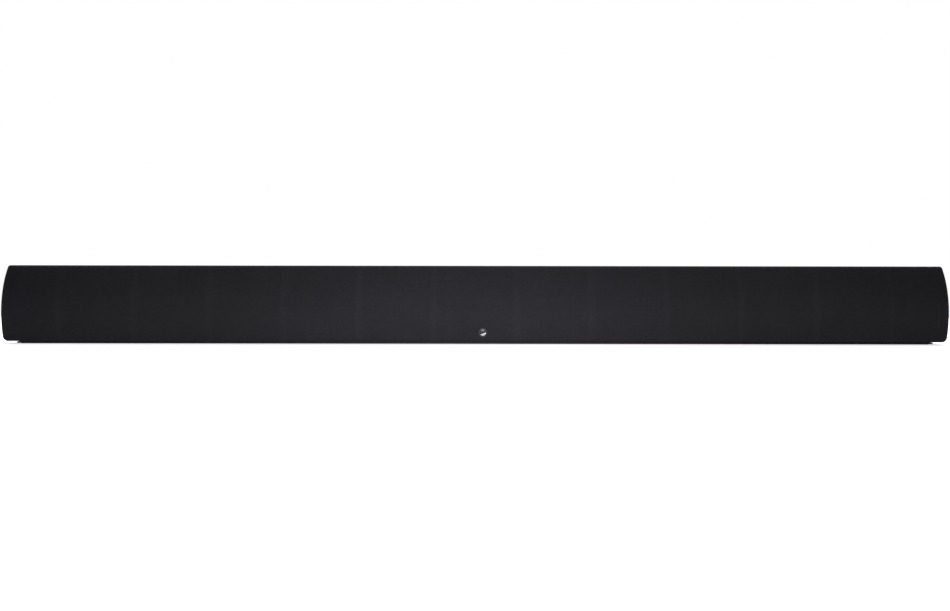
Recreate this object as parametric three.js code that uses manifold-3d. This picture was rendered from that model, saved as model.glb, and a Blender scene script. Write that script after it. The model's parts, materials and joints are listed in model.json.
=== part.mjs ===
// A soundbar: a long black loudspeaker cabinet whose whole front is one bowed, cloth-covered grille.
// Sizes are in millimetres. X runs along the bar, to the right as seen from the front, Y runs from the
// front to the back, and Z is up. The origin is under the middle of the bar, on the surface it stands on.
import * as THREE from "three";
import { mergeVertices } from "three/addons/utils/BufferGeometryUtils.js";
import Module from "manifold-3d";

// Overall sizes.
const BAR_LENGTH = 1200;
const BAR_HEIGHT = 100; // from the table to the top of the cabinet
const BAR_DEPTH = 86; // from the foremost line of the grille to the back of the cabinet
const FIT = 0.3; // gap between two pieces that touch or slot together
const PAST = 1; // how far a hole is cut past the faces that it goes through
const ROUND = 20; // facets of a round piece that is seen
const ROUND_INSIDE = 16; // facets of a round piece that the cabinet hides

// The bowed front: a round arc in the bar's cross-section, foremost below its middle.
const APEX_HEIGHT = 40;
const TOP_SETBACK = 22.9; // from the foremost line back to the top front edge

// Base plate and its two rubber strips.
const FOOT_PROUD = 0.6; // how far the rubber strips stand out under the base plate
const FOOT_WIDTH = 8;
const FOOT_GROOVE = 1.2; // depth of the groove that holds a strip
const BASE_THICKNESS = 2;
const BASE_END_INSET = 17; // from the bar's end to the base plate's end
const BASE_FRONT_INSET = 10; // from the foremost line of the grille to the base plate's front edge
const BASE_BACK_INSET = 3;
const FOOT_EDGE = 3; // from the base plate's edge to a strip

// Grille.
const GRILLE_DEPTH = 29; // from the foremost line to the joint with the cabinet
const CLOTH_THICKNESS = 1;
const FRAME_WALL = 2.5;
const RIB_WIDTH = 6;
const WINDOW_TOP_MARGIN = 14; // frame left above the sound windows
const WINDOW_BOTTOM_MARGIN = 13;
const PEG_RADIUS = 2.5;
const PEG_CLEARANCE = 0.4;
const PEG_INSET = 9; // from the cabinet's top or bottom to a peg's axis
const PEG_BLOCK = 8; // width of the block that carries a peg
const PEG_BLOCK_DEPTH = 4;
const RIBS_PER_PEG = 3; // every third rib carries pegs

// Badge at the foot of the grille, a little right of the middle.
const BADGE_RADIUS = 6;
const BADGE_THICKNESS = 1.6;
const BADGE_HEIGHT = 14.8;
const BADGE_OFFSET = 10;

// Cabinet.
const SHELL_WALL = 2.5;
const CABINET_CORNER = 6; // radius of the two long rear edges
const CORNER_FACETS = 3;
const END_CAP_THICKNESS = 4;
const LIP_LENGTH = 6; // end cap's locating lip
const LIP_WALL = 2;
const BAFFLE_THICKNESS = 4;
const BAFFLE_SETBACK = 1; // from the cabinet's front edge to the baffle's face
const BULKHEAD_THICKNESS = 4;
const CENTRE_BAY = 272; // clear width of the electronics bay between the two bulkheads
const VENT_COUNT = 9;
const VENT_WIDTH = 3;
const VENT_HEIGHT = 18;
const VENT_PITCH = 8;
const VENT_SETDOWN = 8; // from the cabinet's top to the vents

// Drivers. A woofer fills the cabinet's inner height, less a margin above and below.
const END_TO_WOOFER = 120; // from the bar's end to the outer woofer's axis
const DRIVER_PITCH = 95; // woofer, tweeter, woofer
const WOOFER_MARGIN = 4.7;
const FLANGE_WIDTH = 8;
const FLANGE_THICKNESS = 2;
const BASKET_DEPTH = 24;
const BASKET_WALL = 1.5;
const BASKET_TAPER = 12; // how much smaller the basket is at its back
const SPOKE_WINDOW = 14;
const SPOKE_PAIRS = 3;
const SURROUND_LIP = 3.5; // flat rim of the surround, glued to the flange
const SURROUND_ROLL = 2.6; // radius of the half roll
const SURROUND_SKIN = 0.8;
const CONE_DEPTH = 11;
const CONE_WALL = 0.8;
const COIL_RADIUS = 12.6; // middle of the voice coil
const COIL_WALL = 0.8;
const COIL_PLAY = 0.8; // air between the coil and the magnet on each side
const CONE_TRAVEL = 3; // each way
const CONE_SETBACK = 3; // cone's rim behind the baffle's face
const SPIDER_THICKNESS = 1.2;
const MAGNET_RADIUS = 26;
const MAGNET_DEPTH = 17.7;
const MAGNET_BACK_PLATE = 4;
const TWEETER_RADIUS = 26;
const DOME_RADIUS = 10;
const DOME_RISE = 4;
const DOME_WALL = 0.6;
const TWEETER_MAGNET_RADIUS = 16;
const TWEETER_MAGNET_DEPTH = 17;

// Bass port in the back, near each end.
const END_TO_PORT = 45;
const PORT_BORE = 13;
const PORT_WALL = 2;
const PORT_FLARE = 4;
const PORT_FLANGE = 3;
const PORT_LENGTH = 41;

// Wall mount cup in the back, with a keyhole.
const WALL_MOUNT_WIDTH = 30;
const WALL_MOUNT_HEIGHT = 42;
const WALL_MOUNT_DEPTH = 10;
const WALL_MOUNT_WALL = 2;
const KEYHOLE_HEAD_RADIUS = 5;
const KEYHOLE_SLOT = 5;
const KEYHOLE_RISE = 14; // from the head hole's centre to the slot's round end

// Connector tray in the back.
const TRAY_WIDTH = 180;
const TRAY_HEIGHT = 36;
const TRAY_CENTRE_HEIGHT = 40;
const TRAY_DEPTH = 23;
const TRAY_WALL = 2;
const CONNECTOR_PROUD = 2; // how far a connector stands out of the tray's floor
const SOCKET_FLOOR = 5;
const INLET_PIN_RADIUS = 1.2;
const INLET_PIN_PITCH = 8.6;
const INLET_PIN_FACETS = 8;

// Boards. Each stands upright in the bay, with its parts on the side that faces back.
const BOARD_THICKNESS = 1.6;
const BOARD_TO_TRAY_FLOOR = 16.4;
const BOARD_EDGE_MARGIN = 6; // from the cabinet's inner floor to a board
const BOARD_TOP_MARGIN = 12;
const MAIN_BOARD_WIDTH = 176;
const SUPPLY_BOARD_WIDTH = 40;
const BOARD_GAP = 4; // between neighbouring boards
const HEATSINK_WIDTH = 36;
const HEATSINK_FINS = 5;
const HEATSINK_FIN = 2;
const HEATSINK_BASE = 4;
const HEATSINK_DEPTH = 28;
const HEATSINK_HEIGHT = 50;
// Parts on the main board, in a row above the connector tray: each one's place along the board, and size.
const MAIN_BOARD_PARTS = [
  { along: -60, radius: 5, height: 14 },
  { along: -44, radius: 5, height: 14 },
  { along: -28, radius: 5, height: 14 },
  { along: 20, width: 16, breadth: 10, height: 2 },
  { along: 52, width: 12, breadth: 10, height: 9 },
];
// Parts near the foot of the power supply board, placed from its middle.
const SUPPLY_PARTS_RISE = 18; // from the board's lower edge to their centres
const SUPPLY_BOARD_PARTS = [
  { along: -9, radius: 6, height: 20 },
  { along: 9, width: 8, breadth: 12, height: 6 },
];
const TRANSFORMER_SETDOWN = 20; // from the board's upper edge to the transformer's centre
const CORE_WIDTH = 30;
const CORE_HEIGHT = 28;
const CORE_STANDOFF = 6;
const CORE_THICKNESS = 16;
const WINDING_WIDTH = 20;
const WINDING_HEIGHT = 18;
const WINDING_DEPTH = 28;

// Controls in the top.
const BEZEL_WIDTH = 124;
const BEZEL_DEPTH = 20;
const BEZEL_TO_SPLIT = 22; // from the joint with the grille to the bezel's front edge
const BUTTON_PITCH = 28;
const BUTTON_WIDTH = 18;
const BUTTON_DEPTH = 9;
const BUTTON_PROUD = 0.6;
const BUTTON_RIM = 2; // how far the rim under the bezel holds the button in
const BUTTON_RIM_THICKNESS = 1.5;
const BUTTON_TRAVEL = 0.8;
const BUTTON_BOARD_DROP = 11; // from the cabinet's top to the button board
const SWITCH_WIDTH = 6;
const SWITCH_BODY = 3.5;
const SWITCH_RADIUS = 1.7;
const SWITCH_FACETS = 8;
const BUTTON_BOARD_INSET = 4; // from the bezel's end to the button board's end

// Remote control sensor behind the grille.
const SENSOR_OFFSET = 30;
const SENSOR_HEIGHT = 17;
const SENSOR_RADIUS = 3;
const SENSOR_PROUD = 2;
const SENSOR_CARD_WIDTH = 18;
const SENSOR_CARD_HEIGHT = 12;

// Speaker leads.
const LEAD_RADIUS = 2;
const LEAD_FACETS = 4; // facets of a quarter of a lead
const LEAD_STEPS = 18;
const LEAD_START_INSET = 4; // from the main board's end to a lead's start
const LEAD_START_DROP = 2; // how far the start lies below the hole in the bulkhead
const LEAD_STRAIGHT = 20; // straight run before that hole
const LEAD_END_DROP = 10; // from the magnet's axis down to where a lead meets it
// Bends between the hole and the magnet: the share of the way, and how far forward and up each one lies.
const LEAD_BENDS = [
  { share: 0.2, forward: 0, rise: 3 },
  { share: 0.8, forward: 2, rise: 14 },
];
const LEAD_MEETING = 0.97; // share of the way at which a lead reaches the magnet
const LEAD_HOLE_RADIUS = 4;
const LEAD_HOLE_BACK = 28; // from the baffle's back to the leads' hole in a bulkhead
const LEAD_HOLE_RISE = 10; // from the cabinet's inner floor to that hole

// Places worked out from the sizes above.
const HALF = BAR_LENGTH / 2;
const FRONT = -BAR_DEPTH / 2;
const BACK = BAR_DEPTH / 2;
const CABINET_BOTTOM = FOOT_PROUD + BASE_THICKNESS + FIT;
const SPLIT = FRONT + GRILLE_DEPTH; // the cabinet's front edge
const GRILLE_BACK = SPLIT - FIT;
const FRONT_RADIUS = ((BAR_HEIGHT - APEX_HEIGHT) ** 2 + TOP_SETBACK ** 2) / (2 * TOP_SETBACK);
const ARC_CENTRE = FRONT + FRONT_RADIUS;
const INSIDE = SHELL_WALL + FIT; // inset of what fits inside the shell
const FLOOR = CABINET_BOTTOM + INSIDE;
const CEILING = BAR_HEIGHT - INSIDE;
const BAFFLE_FRONT = SPLIT + BAFFLE_SETBACK;
const BAFFLE_BACK = BAFFLE_FRONT + BAFFLE_THICKNESS;
const SHELL_HALF = HALF - END_CAP_THICKNESS - FIT;
const LIP_INNER = SHELL_HALF - LIP_LENGTH;
const OUTER_WOOFER = HALF - END_TO_WOOFER;
const TWEETER = OUTER_WOOFER - DRIVER_PITCH;
const INNER_WOOFER = TWEETER - DRIVER_PITCH;
const DRIVER_HEIGHT = (FLOOR + CEILING) / 2;
const FLANGE_RADIUS = (CEILING - FLOOR) / 2 - WOOFER_MARGIN;
const BASKET_RADIUS = FLANGE_RADIUS - FLANGE_WIDTH + BASKET_WALL * 2;
const BAFFLE_HOLE = BASKET_RADIUS + FIT;
const SURROUND_RADIUS = FLANGE_RADIUS - SURROUND_LIP;
const CONE_RADIUS = SURROUND_RADIUS - SURROUND_LIP - 2 * SURROUND_ROLL - FIT;
const WALL_MOUNT = (OUTER_WOOFER + TWEETER) / 2;
const PORT = HALF - END_TO_PORT;
const BULKHEAD = CENTRE_BAY / 2;
const TRAY_FLOOR = BACK - TRAY_DEPTH;
const BOARD_BACK = TRAY_FLOOR - BOARD_TO_TRAY_FLOOR;
const BOARD_FRONT = BOARD_BACK - BOARD_THICKNESS;
const BEZEL_FRONT = SPLIT + BEZEL_TO_SPLIT;
const BUTTON_Y = BEZEL_FRONT + BEZEL_DEPTH / 2;
const BEZEL_UNDERSIDE = BAR_HEIGHT - SHELL_WALL;
const BUTTON_UNDERSIDE = BEZEL_UNDERSIDE - FIT - BUTTON_RIM_THICKNESS;
const BUTTON_BOARD_TOP = BAR_HEIGHT - BUTTON_BOARD_DROP;

const wasm = await Module();
wasm.setup();

// ---------------------------------------------------------------- shapes and solids

function toSolid(geometry) {
  const bare = geometry.clone();
  bare.deleteAttribute("normal");
  bare.deleteAttribute("uv");
  const merged = mergeVertices(bare);
  const mesh = new wasm.Mesh({
    numProp: 3,
    vertProperties: new Float32Array(merged.attributes.position.array),
    triVerts: new Uint32Array(merged.index.array),
  });
  return new wasm.Manifold(mesh);
}

function toGeometry(solid) {
  const mesh = solid.getMesh();
  const geometry = new THREE.BufferGeometry();
  geometry.setAttribute("position", new THREE.BufferAttribute(mesh.vertProperties, 3));
  geometry.setIndex(new THREE.BufferAttribute(mesh.triVerts, 1));
  geometry.computeVertexNormals();
  return geometry;
}

function join(first, ...others) {
  const start = toSolid(first);
  return toGeometry(others.reduce((solid, other) => solid.add(toSolid(other)), start));
}

function cut(body, ...tools) {
  const start = toSolid(body);
  return toGeometry(tools.reduce((solid, tool) => solid.subtract(toSolid(tool)), start));
}

function common(first, second) {
  return toGeometry(toSolid(first).intersect(toSolid(second)));
}

const around = (centre, width) => [centre - width / 2, centre + width / 2];
const grown = (range, by) => [range[0] - by, range[1] + by];

function box(x, y, z) {
  const block = new THREE.BoxGeometry(x[1] - x[0], y[1] - y[0], z[1] - z[0]);
  return block.translate((x[0] + x[1]) / 2, (y[0] + y[1]) / 2, (z[0] + z[1]) / 2);
}

function rodAlongY(radius, y, facets = ROUND) {
  const rod = new THREE.CylinderGeometry(radius, radius, y[1] - y[0], facets);
  return rod.translate(0, (y[0] + y[1]) / 2, 0);
}

function rodAlongZ(radius, z, facets = ROUND_INSIDE) {
  const rod = new THREE.CylinderGeometry(radius, radius, z[1] - z[0], facets);
  return rod.rotateX(Math.PI / 2).translate(0, 0, (z[0] + z[1]) / 2);
}

// Turns a closed outline of [radius, y] points about the Y axis.
function turned(outline, facets = ROUND) {
  const points = outline.map(([radius, y]) => new THREE.Vector2(radius, y));
  return new THREE.LatheGeometry(points, facets);
}

// Extrudes an outline drawn in Y and Z along X.
function alongX(shape, x, curveSegments = 4) {
  const depth = x[1] - x[0];
  const prism = new THREE.ExtrudeGeometry(shape, { depth, bevelEnabled: false, curveSegments });
  const yzx = new THREE.Matrix4().makeBasis(
    new THREE.Vector3(0, 1, 0),
    new THREE.Vector3(0, 0, 1),
    new THREE.Vector3(1, 0, 0),
  );
  return prism.applyMatrix4(yzx).translate(x[0], 0, 0);
}

function alongZ(shape, z, curveSegments = 4) {
  const depth = z[1] - z[0];
  const prism = new THREE.ExtrudeGeometry(shape, { depth, bevelEnabled: false, curveSegments });
  return prism.translate(0, 0, z[0]);
}

function roundedRectangle(across, up, radius) {
  const [left, right] = across;
  const [low, high] = up;
  const quarter = Math.PI / 2;
  const shape = new THREE.Shape();
  shape.moveTo(left + radius, low);
  shape.absarc(right - radius, low + radius, radius, -quarter, 0);
  shape.absarc(right - radius, high - radius, radius, 0, quarter);
  shape.absarc(left + radius, high - radius, radius, quarter, 2 * quarter);
  shape.absarc(left + radius, low + radius, radius, 2 * quarter, 3 * quarter);
  return shape;
}

// The grille's outline in Y and Z, drawn in by an inset and open-ended towards the back.
function grilleSection(inset, back) {
  const radius = FRONT_RADIUS - inset;
  const low = CABINET_BOTTOM + inset;
  const riseAtBack = Math.sqrt(radius ** 2 - (ARC_CENTRE - back) ** 2);
  const rise = Math.min(BAR_HEIGHT - inset - APEX_HEIGHT, riseAtBack);
  const top = Math.PI - Math.asin(rise / radius);
  const bottom = Math.PI - Math.asin((low - APEX_HEIGHT) / radius);
  const shape = new THREE.Shape();
  shape.moveTo(back, low);
  shape.lineTo(back, APEX_HEIGHT + rise);
  shape.absarc(ARC_CENTRE, APEX_HEIGHT, radius, top, Math.PI);
  shape.absarc(ARC_CENTRE, APEX_HEIGHT, radius, Math.PI, bottom);
  return shape;
}

// The cabinet's outline in Y and Z: square at the front and rounded at the back.
function cabinetSection(inset, front) {
  const radius = CABINET_CORNER - inset;
  const low = CABINET_BOTTOM + inset;
  const high = BAR_HEIGHT - inset;
  const back = BACK - inset;
  const shape = new THREE.Shape();
  shape.moveTo(front, high);
  shape.lineTo(front, low);
  shape.absarc(back - radius, low + radius, radius, -Math.PI / 2, 0);
  shape.absarc(back - radius, high - radius, radius, 0, Math.PI / 2);
  return shape;
}

// ---------------------------------------------------------------- finishes and meshes

const finish = (color, roughness, metalness = 0) =>
  new THREE.MeshStandardMaterial({ color, roughness, metalness });
const mouldedBlack = finish(0x161617, 0.55);
const paintedBoard = finish(0x101011, 0.8);
const clothBlack = finish(0x1c1c1f, 0.95);
const rubberBlack = finish(0x0d0d0d, 0.85);
const paintedSteel = finish(0x141415, 0.5, 0.3);
const bareSteel = finish(0x9a9c9e, 0.35, 0.9);
const brightMetal = finish(0xc8cacc, 0.15, 1);
const paperCone = finish(0x2a2a2b, 0.85);
const surroundRubber = finish(0x121212, 0.6);
const spiderCloth = finish(0xb08a3c, 0.9);
const silkDome = finish(0x1b1b1e, 0.7);
const ferrite = finish(0x2b2b2d, 0.7, 0.1);
const boardGreen = finish(0x14401f, 0.5);
const coreSteel = finish(0x5a5c5e, 0.5, 0.6);
const aluminium = finish(0xa4a6a8, 0.4, 0.9);
const sensorRed = finish(0x2a0608, 0.1);

function piece(name, geometry, material) {
  const mesh = new THREE.Mesh(geometry, material);
  mesh.name = name;
  return mesh;
}

// ---------------------------------------------------------------- grille

// Ribs stand midway between the drivers, from beyond the outer woofer in to the middle of the bar.
function ribPlaces() {
  const places = [];
  for (let x = OUTER_WOOFER + DRIVER_PITCH / 2; x > DRIVER_PITCH / 4; x -= DRIVER_PITCH) {
    places.push(x);
  }
  return places;
}

function pegPlaces() {
  const heights = [CABINET_BOTTOM + PEG_INSET, BAR_HEIGHT - PEG_INSET];
  const ribs = ribPlaces().filter((_, index) => index % RIBS_PER_PEG === 0);
  return ribs.flatMap((x) => [-x, x]).flatMap((x) => heights.map((z) => [x, z]));
}

function grilleCloth() {
  const outside = alongX(grilleSection(0, GRILLE_BACK), [-HALF, HALF]);
  const hollow = alongX(grilleSection(CLOTH_THICKNESS, SPLIT), grown([-HALF, HALF], -CLOTH_THICKNESS));
  return piece("grille_cloth", cut(outside, hollow), clothBlack);
}

function grilleFrame() {
  const outerInset = CLOTH_THICKNESS + FIT;
  const innerInset = outerInset + FRAME_WALL;
  const outside = alongX(grilleSection(outerInset, GRILLE_BACK), grown([-HALF, HALF], -outerInset));
  const hollow = alongX(grilleSection(innerInset, SPLIT), grown([-HALF, HALF], -innerInset));
  const windowZ = [CABINET_BOTTOM + WINDOW_BOTTOM_MARGIN, BAR_HEIGHT - WINDOW_TOP_MARGIN];
  const windowY = [FRONT - FIT, GRILLE_BACK - PEG_BLOCK_DEPTH];
  const ribs = ribPlaces();
  const edges = [-HALF + innerInset, ...ribs.map((x) => -x), ...ribs.reverse(), HALF - innerInset];
  const windows = edges.slice(1).map((right, index) => {
    const left = edges[index];
    return box([left + RIB_WIDTH / 2, right - RIB_WIDTH / 2], windowY, windowZ);
  });
  const shell = cut(outside, hollow, ...windows);
  const blockY = [GRILLE_BACK - PEG_BLOCK_DEPTH, GRILLE_BACK];
  const pegY = [GRILLE_BACK - PEG_BLOCK_DEPTH / 2, BAFFLE_BACK];
  const blocks = pegPlaces().map(([x, z]) => {
    const isUpper = z > DRIVER_HEIGHT;
    const blockZ = isUpper ? [z - PEG_BLOCK / 2, BAR_HEIGHT] : [CABINET_BOTTOM, z + PEG_BLOCK / 2];
    return common(box(around(x, PEG_BLOCK), blockY, blockZ), outside);
  });
  const pegs = pegPlaces().map(([x, z]) => rodAlongY(PEG_RADIUS, pegY, ROUND_INSIDE).translate(x, 0, z));
  return piece("grille_frame", join(shell, ...blocks, ...pegs), mouldedBlack);
}

// A domed button-shaped stud whose flat back lies just clear of the cloth.
function badge() {
  const rim = BADGE_RADIUS - BADGE_THICKNESS / 3;
  const outline = [
    [0, -BADGE_THICKNESS],
    [BADGE_RADIUS / 2, -BADGE_THICKNESS * 0.9],
    [rim, -BADGE_THICKNESS / 2],
    [BADGE_RADIUS, 0],
    [0, 0],
  ];
  const stud = piece("badge", turned(outline), brightMetal);
  const tilt = Math.asin((APEX_HEIGHT - BADGE_HEIGHT) / FRONT_RADIUS);
  const surface = ARC_CENTRE - FRONT_RADIUS * Math.cos(tilt);
  stud.position.set(BADGE_OFFSET, surface - FIT * Math.cos(tilt), BADGE_HEIGHT - FIT * Math.sin(tilt));
  stud.rotation.x = tilt;
  return stud;
}

// ---------------------------------------------------------------- cabinet

const bothSides = (x) => [-x, x];
const onSide = (side, from, to) => (side > 0 ? [from, to] : [-to, -from]);

function trayRanges() {
  return { x: around(0, TRAY_WIDTH), z: around(TRAY_CENTRE_HEIGHT, TRAY_HEIGHT) };
}

function wallMountRanges(x) {
  return { x: around(x, WALL_MOUNT_WIDTH), z: around(DRIVER_HEIGHT, WALL_MOUNT_HEIGHT) };
}

function cabinetShell() {
  const shellX = [-SHELL_HALF, SHELL_HALF];
  const outside = alongX(cabinetSection(0, SPLIT), shellX, CORNER_FACETS);
  const hollow = alongX(cabinetSection(SHELL_WALL, SPLIT - FIT), grown(shellX, FIT), CORNER_FACETS);
  const throughBack = [BACK - SHELL_WALL * 2, BACK + SHELL_WALL];
  const tray = trayRanges();
  const cuts = [box(grown(tray.x, FIT), throughBack, grown(tray.z, FIT))];
  const portHole = PORT_BORE + PORT_FLARE + PORT_FLANGE + FIT;
  for (const x of bothSides(PORT)) {
    cuts.push(rodAlongY(portHole, throughBack).translate(x, 0, DRIVER_HEIGHT));
  }
  for (const x of bothSides(WALL_MOUNT)) {
    const mount = wallMountRanges(x);
    cuts.push(box(grown(mount.x, FIT), throughBack, grown(mount.z, FIT)));
  }
  const bezelY = grown([BEZEL_FRONT, BEZEL_FRONT + BEZEL_DEPTH], FIT);
  cuts.push(box(grown(around(0, BEZEL_WIDTH), FIT), bezelY, around(BAR_HEIGHT, SHELL_WALL * 4)));
  const ventTop = BAR_HEIGHT - VENT_SETDOWN;
  for (let i = 0; i < VENT_COUNT; i += 1) {
    const x = (i - (VENT_COUNT - 1) / 2) * VENT_PITCH;
    cuts.push(box(around(x, VENT_WIDTH), throughBack, [ventTop - VENT_HEIGHT, ventTop]));
  }
  return piece("cabinet_shell", cut(outside, hollow, ...cuts), mouldedBlack);
}

function footRanges() {
  const front = FRONT + BASE_FRONT_INSET + FOOT_EDGE;
  const back = BACK - BASE_BACK_INSET - FOOT_EDGE;
  return { front: [front, front + FOOT_WIDTH], back: [back - FOOT_WIDTH, back] };
}

function basePlate() {
  const x = bothSides(HALF - BASE_END_INSET);
  const y = [FRONT + BASE_FRONT_INSET, BACK - BASE_BACK_INSET];
  const plate = box(x, y, [FOOT_PROUD, FOOT_PROUD + BASE_THICKNESS]);
  const grooves = Object.values(footRanges()).map((footY) => {
    return box(grown(x, -FOOT_EDGE), grown(footY, FIT), [0, FOOT_PROUD + FOOT_GROOVE]);
  });
  return piece("base_plate", cut(plate, ...grooves), paintedSteel);
}

function footStrip(name, y) {
  const x = bothSides(HALF - BASE_END_INSET - FOOT_EDGE - FIT);
  return piece(name, box(x, y, [0, FOOT_PROUD + FOOT_GROOVE - FIT]), rubberBlack);
}

function endCap(name, side) {
  const plateX = onSide(side, HALF - END_CAP_THICKNESS, HALF);
  const plate = alongX(cabinetSection(0, SPLIT), plateX, CORNER_FACETS);
  const lipX = onSide(side, LIP_INNER, HALF - END_CAP_THICKNESS / 2);
  const lip = alongX(cabinetSection(INSIDE, BAFFLE_FRONT), lipX, CORNER_FACETS);
  const hollowX = onSide(side, LIP_INNER - FIT, HALF - END_CAP_THICKNESS);
  const hollowSection = cabinetSection(INSIDE + LIP_WALL, BAFFLE_FRONT + LIP_WALL);
  const hollow = alongX(hollowSection, hollowX, CORNER_FACETS);
  return piece(name, join(plate, cut(lip, hollow)), mouldedBlack);
}

function bulkhead(name, side) {
  const x = onSide(side, BULKHEAD, BULKHEAD + BULKHEAD_THICKNESS);
  const wall = alongX(cabinetSection(INSIDE, BAFFLE_BACK + FIT), x, CORNER_FACETS);
  const length = BULKHEAD_THICKNESS * 3;
  const hole = new THREE.CylinderGeometry(LEAD_HOLE_RADIUS, LEAD_HOLE_RADIUS, length, ROUND_INSIDE);
  hole.rotateZ(Math.PI / 2);
  hole.translate(side * BULKHEAD, BAFFLE_BACK + LEAD_HOLE_BACK, FLOOR + LEAD_HOLE_RISE);
  return piece(name, cut(wall, hole), paintedBoard);
}

function frontBaffle() {
  const plate = box(bothSides(LIP_INNER - FIT), [BAFFLE_FRONT, BAFFLE_BACK], [FLOOR, CEILING]);
  const through = grown([BAFFLE_FRONT, BAFFLE_BACK], PAST);
  const holeAt = (radius, x, z, facets) => rodAlongY(radius, through, facets).translate(x, 0, z);
  const woofers = [OUTER_WOOFER, INNER_WOOFER].flatMap(bothSides);
  const holes = [
    ...woofers.map((x) => holeAt(BAFFLE_HOLE, x, DRIVER_HEIGHT)),
    ...bothSides(TWEETER).map((x) => holeAt(TWEETER_MAGNET_RADIUS + FIT, x, DRIVER_HEIGHT)),
    ...pegPlaces().map(([x, z]) => holeAt(PEG_RADIUS + PEG_CLEARANCE, x, z, ROUND_INSIDE)),
    holeAt(SENSOR_RADIUS + FIT, SENSOR_OFFSET, SENSOR_HEIGHT, ROUND_INSIDE),
  ];
  return piece("front_baffle", cut(plate, ...holes), paintedBoard);
}

// A cup let into the back, closed by a face with a keyhole: a round hole for a screw's head, and a slot.
function wallMount(name, centre) {
  const { x, z } = wallMountRanges(centre);
  const y = [BACK - WALL_MOUNT_DEPTH, BACK];
  const hollowY = grown(y, -WALL_MOUNT_WALL);
  const hollow = box(grown(x, -WALL_MOUNT_WALL), hollowY, grown(z, -WALL_MOUNT_WALL));
  const faceY = [BACK - WALL_MOUNT_WALL * 1.5, BACK + WALL_MOUNT_WALL];
  const headZ = DRIVER_HEIGHT - KEYHOLE_RISE / 2;
  const head = rodAlongY(KEYHOLE_HEAD_RADIUS, faceY).translate(centre, 0, headZ);
  const slotTop = headZ + KEYHOLE_RISE;
  const slotEnd = rodAlongY(KEYHOLE_SLOT / 2, faceY, ROUND_INSIDE).translate(centre, 0, slotTop);
  const slot = box(around(centre, KEYHOLE_SLOT), faceY, [headZ, slotTop]);
  return piece(name, cut(box(x, y, z), hollow, head, slot, slotEnd), bareSteel);
}

function bassPort(name, x) {
  const mouth = PORT_BORE + PORT_FLARE;
  const outer = PORT_BORE + PORT_WALL;
  const inner = BACK - PORT_LENGTH;
  const outline = [
    [PORT_BORE + PORT_WALL / 2, inner],
    [outer, inner],
    [outer, BACK - SHELL_WALL - PORT_FLARE],
    [mouth + PORT_FLANGE, BACK - SHELL_WALL],
    [mouth + PORT_FLANGE, BACK],
    [mouth, BACK],
    [PORT_BORE + PORT_FLARE * 0.3, BACK - PORT_FLARE * 0.7],
    [PORT_BORE, BACK - PORT_FLARE * 2],
    [PORT_BORE, inner + PORT_WALL],
    [PORT_BORE + PORT_WALL / 2, inner],
  ];
  const port = piece(name, turned(outline), mouldedBlack);
  port.position.set(x, 0, DRIVER_HEIGHT);
  return port;
}

// ---------------------------------------------------------------- drivers
// A driver is drawn about the Y axis, with y = 0 on the baffle's face and y growing towards the back.

function wooferBasket(name) {
  const rear = BASKET_RADIUS - BASKET_TAPER;
  const hole = COIL_RADIUS + COIL_PLAY * 2;
  const outline = [
    [FLANGE_RADIUS, -FIT - FLANGE_THICKNESS],
    [FLANGE_RADIUS, -FIT],
    [BASKET_RADIUS, -FIT],
    [BASKET_RADIUS, BASKET_WALL],
    [rear, BASKET_DEPTH],
    [hole, BASKET_DEPTH],
    [hole, BASKET_DEPTH - BASKET_WALL],
    [rear - BASKET_WALL, BASKET_DEPTH - BASKET_WALL],
    [BASKET_RADIUS - BASKET_WALL, BASKET_WALL],
    [BASKET_RADIUS - BASKET_WALL, -FIT - FLANGE_THICKNESS],
    [FLANGE_RADIUS, -FIT - FLANGE_THICKNESS],
  ];
  const slotY = [BASKET_DEPTH / 4, BASKET_DEPTH * 0.8];
  const slots = Array.from({ length: SPOKE_PAIRS }, (_, turn) => {
    const slot = box(bothSides(BASKET_RADIUS * 2), slotY, around(0, SPOKE_WINDOW));
    return slot.rotateY((turn * Math.PI) / SPOKE_PAIRS);
  });
  return piece(name, cut(turned(outline), ...slots), mouldedBlack);
}

// Magnet, pole and back plate, with the ring-shaped gap that the voice coil moves in.
function wooferMagnet(name) {
  const front = BASKET_DEPTH + FIT;
  const back = front + MAGNET_DEPTH;
  const floor = back - MAGNET_BACK_PLATE;
  const pole = COIL_RADIUS - COIL_WALL / 2 - COIL_PLAY;
  const ring = COIL_RADIUS + COIL_WALL / 2 + COIL_PLAY;
  const outline = [
    [0, front],
    [pole, front],
    [pole, floor],
    [ring, floor],
    [ring, front],
    [MAGNET_RADIUS, front],
    [MAGNET_RADIUS, back],
    [0, back],
  ];
  return piece(name, turned(outline, ROUND_INSIDE), ferrite);
}

// Cone, dust cap and voice coil former, which move together.
function wooferCone(name) {
  const rim = CONE_SETBACK;
  const neck = CONE_SETBACK + CONE_DEPTH;
  const inner = COIL_RADIUS - COIL_WALL / 2;
  const outer = COIL_RADIUS + COIL_WALL / 2;
  const coilEnd = BASKET_DEPTH + FIT + MAGNET_DEPTH - MAGNET_BACK_PLATE - CONE_TRAVEL * 2;
  const cap = neck - CONE_WALL * 2;
  const crest = cap - COIL_RADIUS * 0.4;
  const shoulder = cap - COIL_RADIUS * 0.28;
  const outline = [
    [0, crest],
    [inner * 0.55, shoulder],
    [inner, cap],
    [CONE_RADIUS, rim - CONE_WALL],
    [CONE_RADIUS, rim],
    [outer, neck],
    [outer, coilEnd],
    [inner, coilEnd],
    [inner, cap + CONE_WALL * 2],
    [inner * 0.55, shoulder + CONE_WALL],
    [0, crest + CONE_WALL],
  ];
  return piece(name, turned(outline), paperCone);
}

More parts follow.
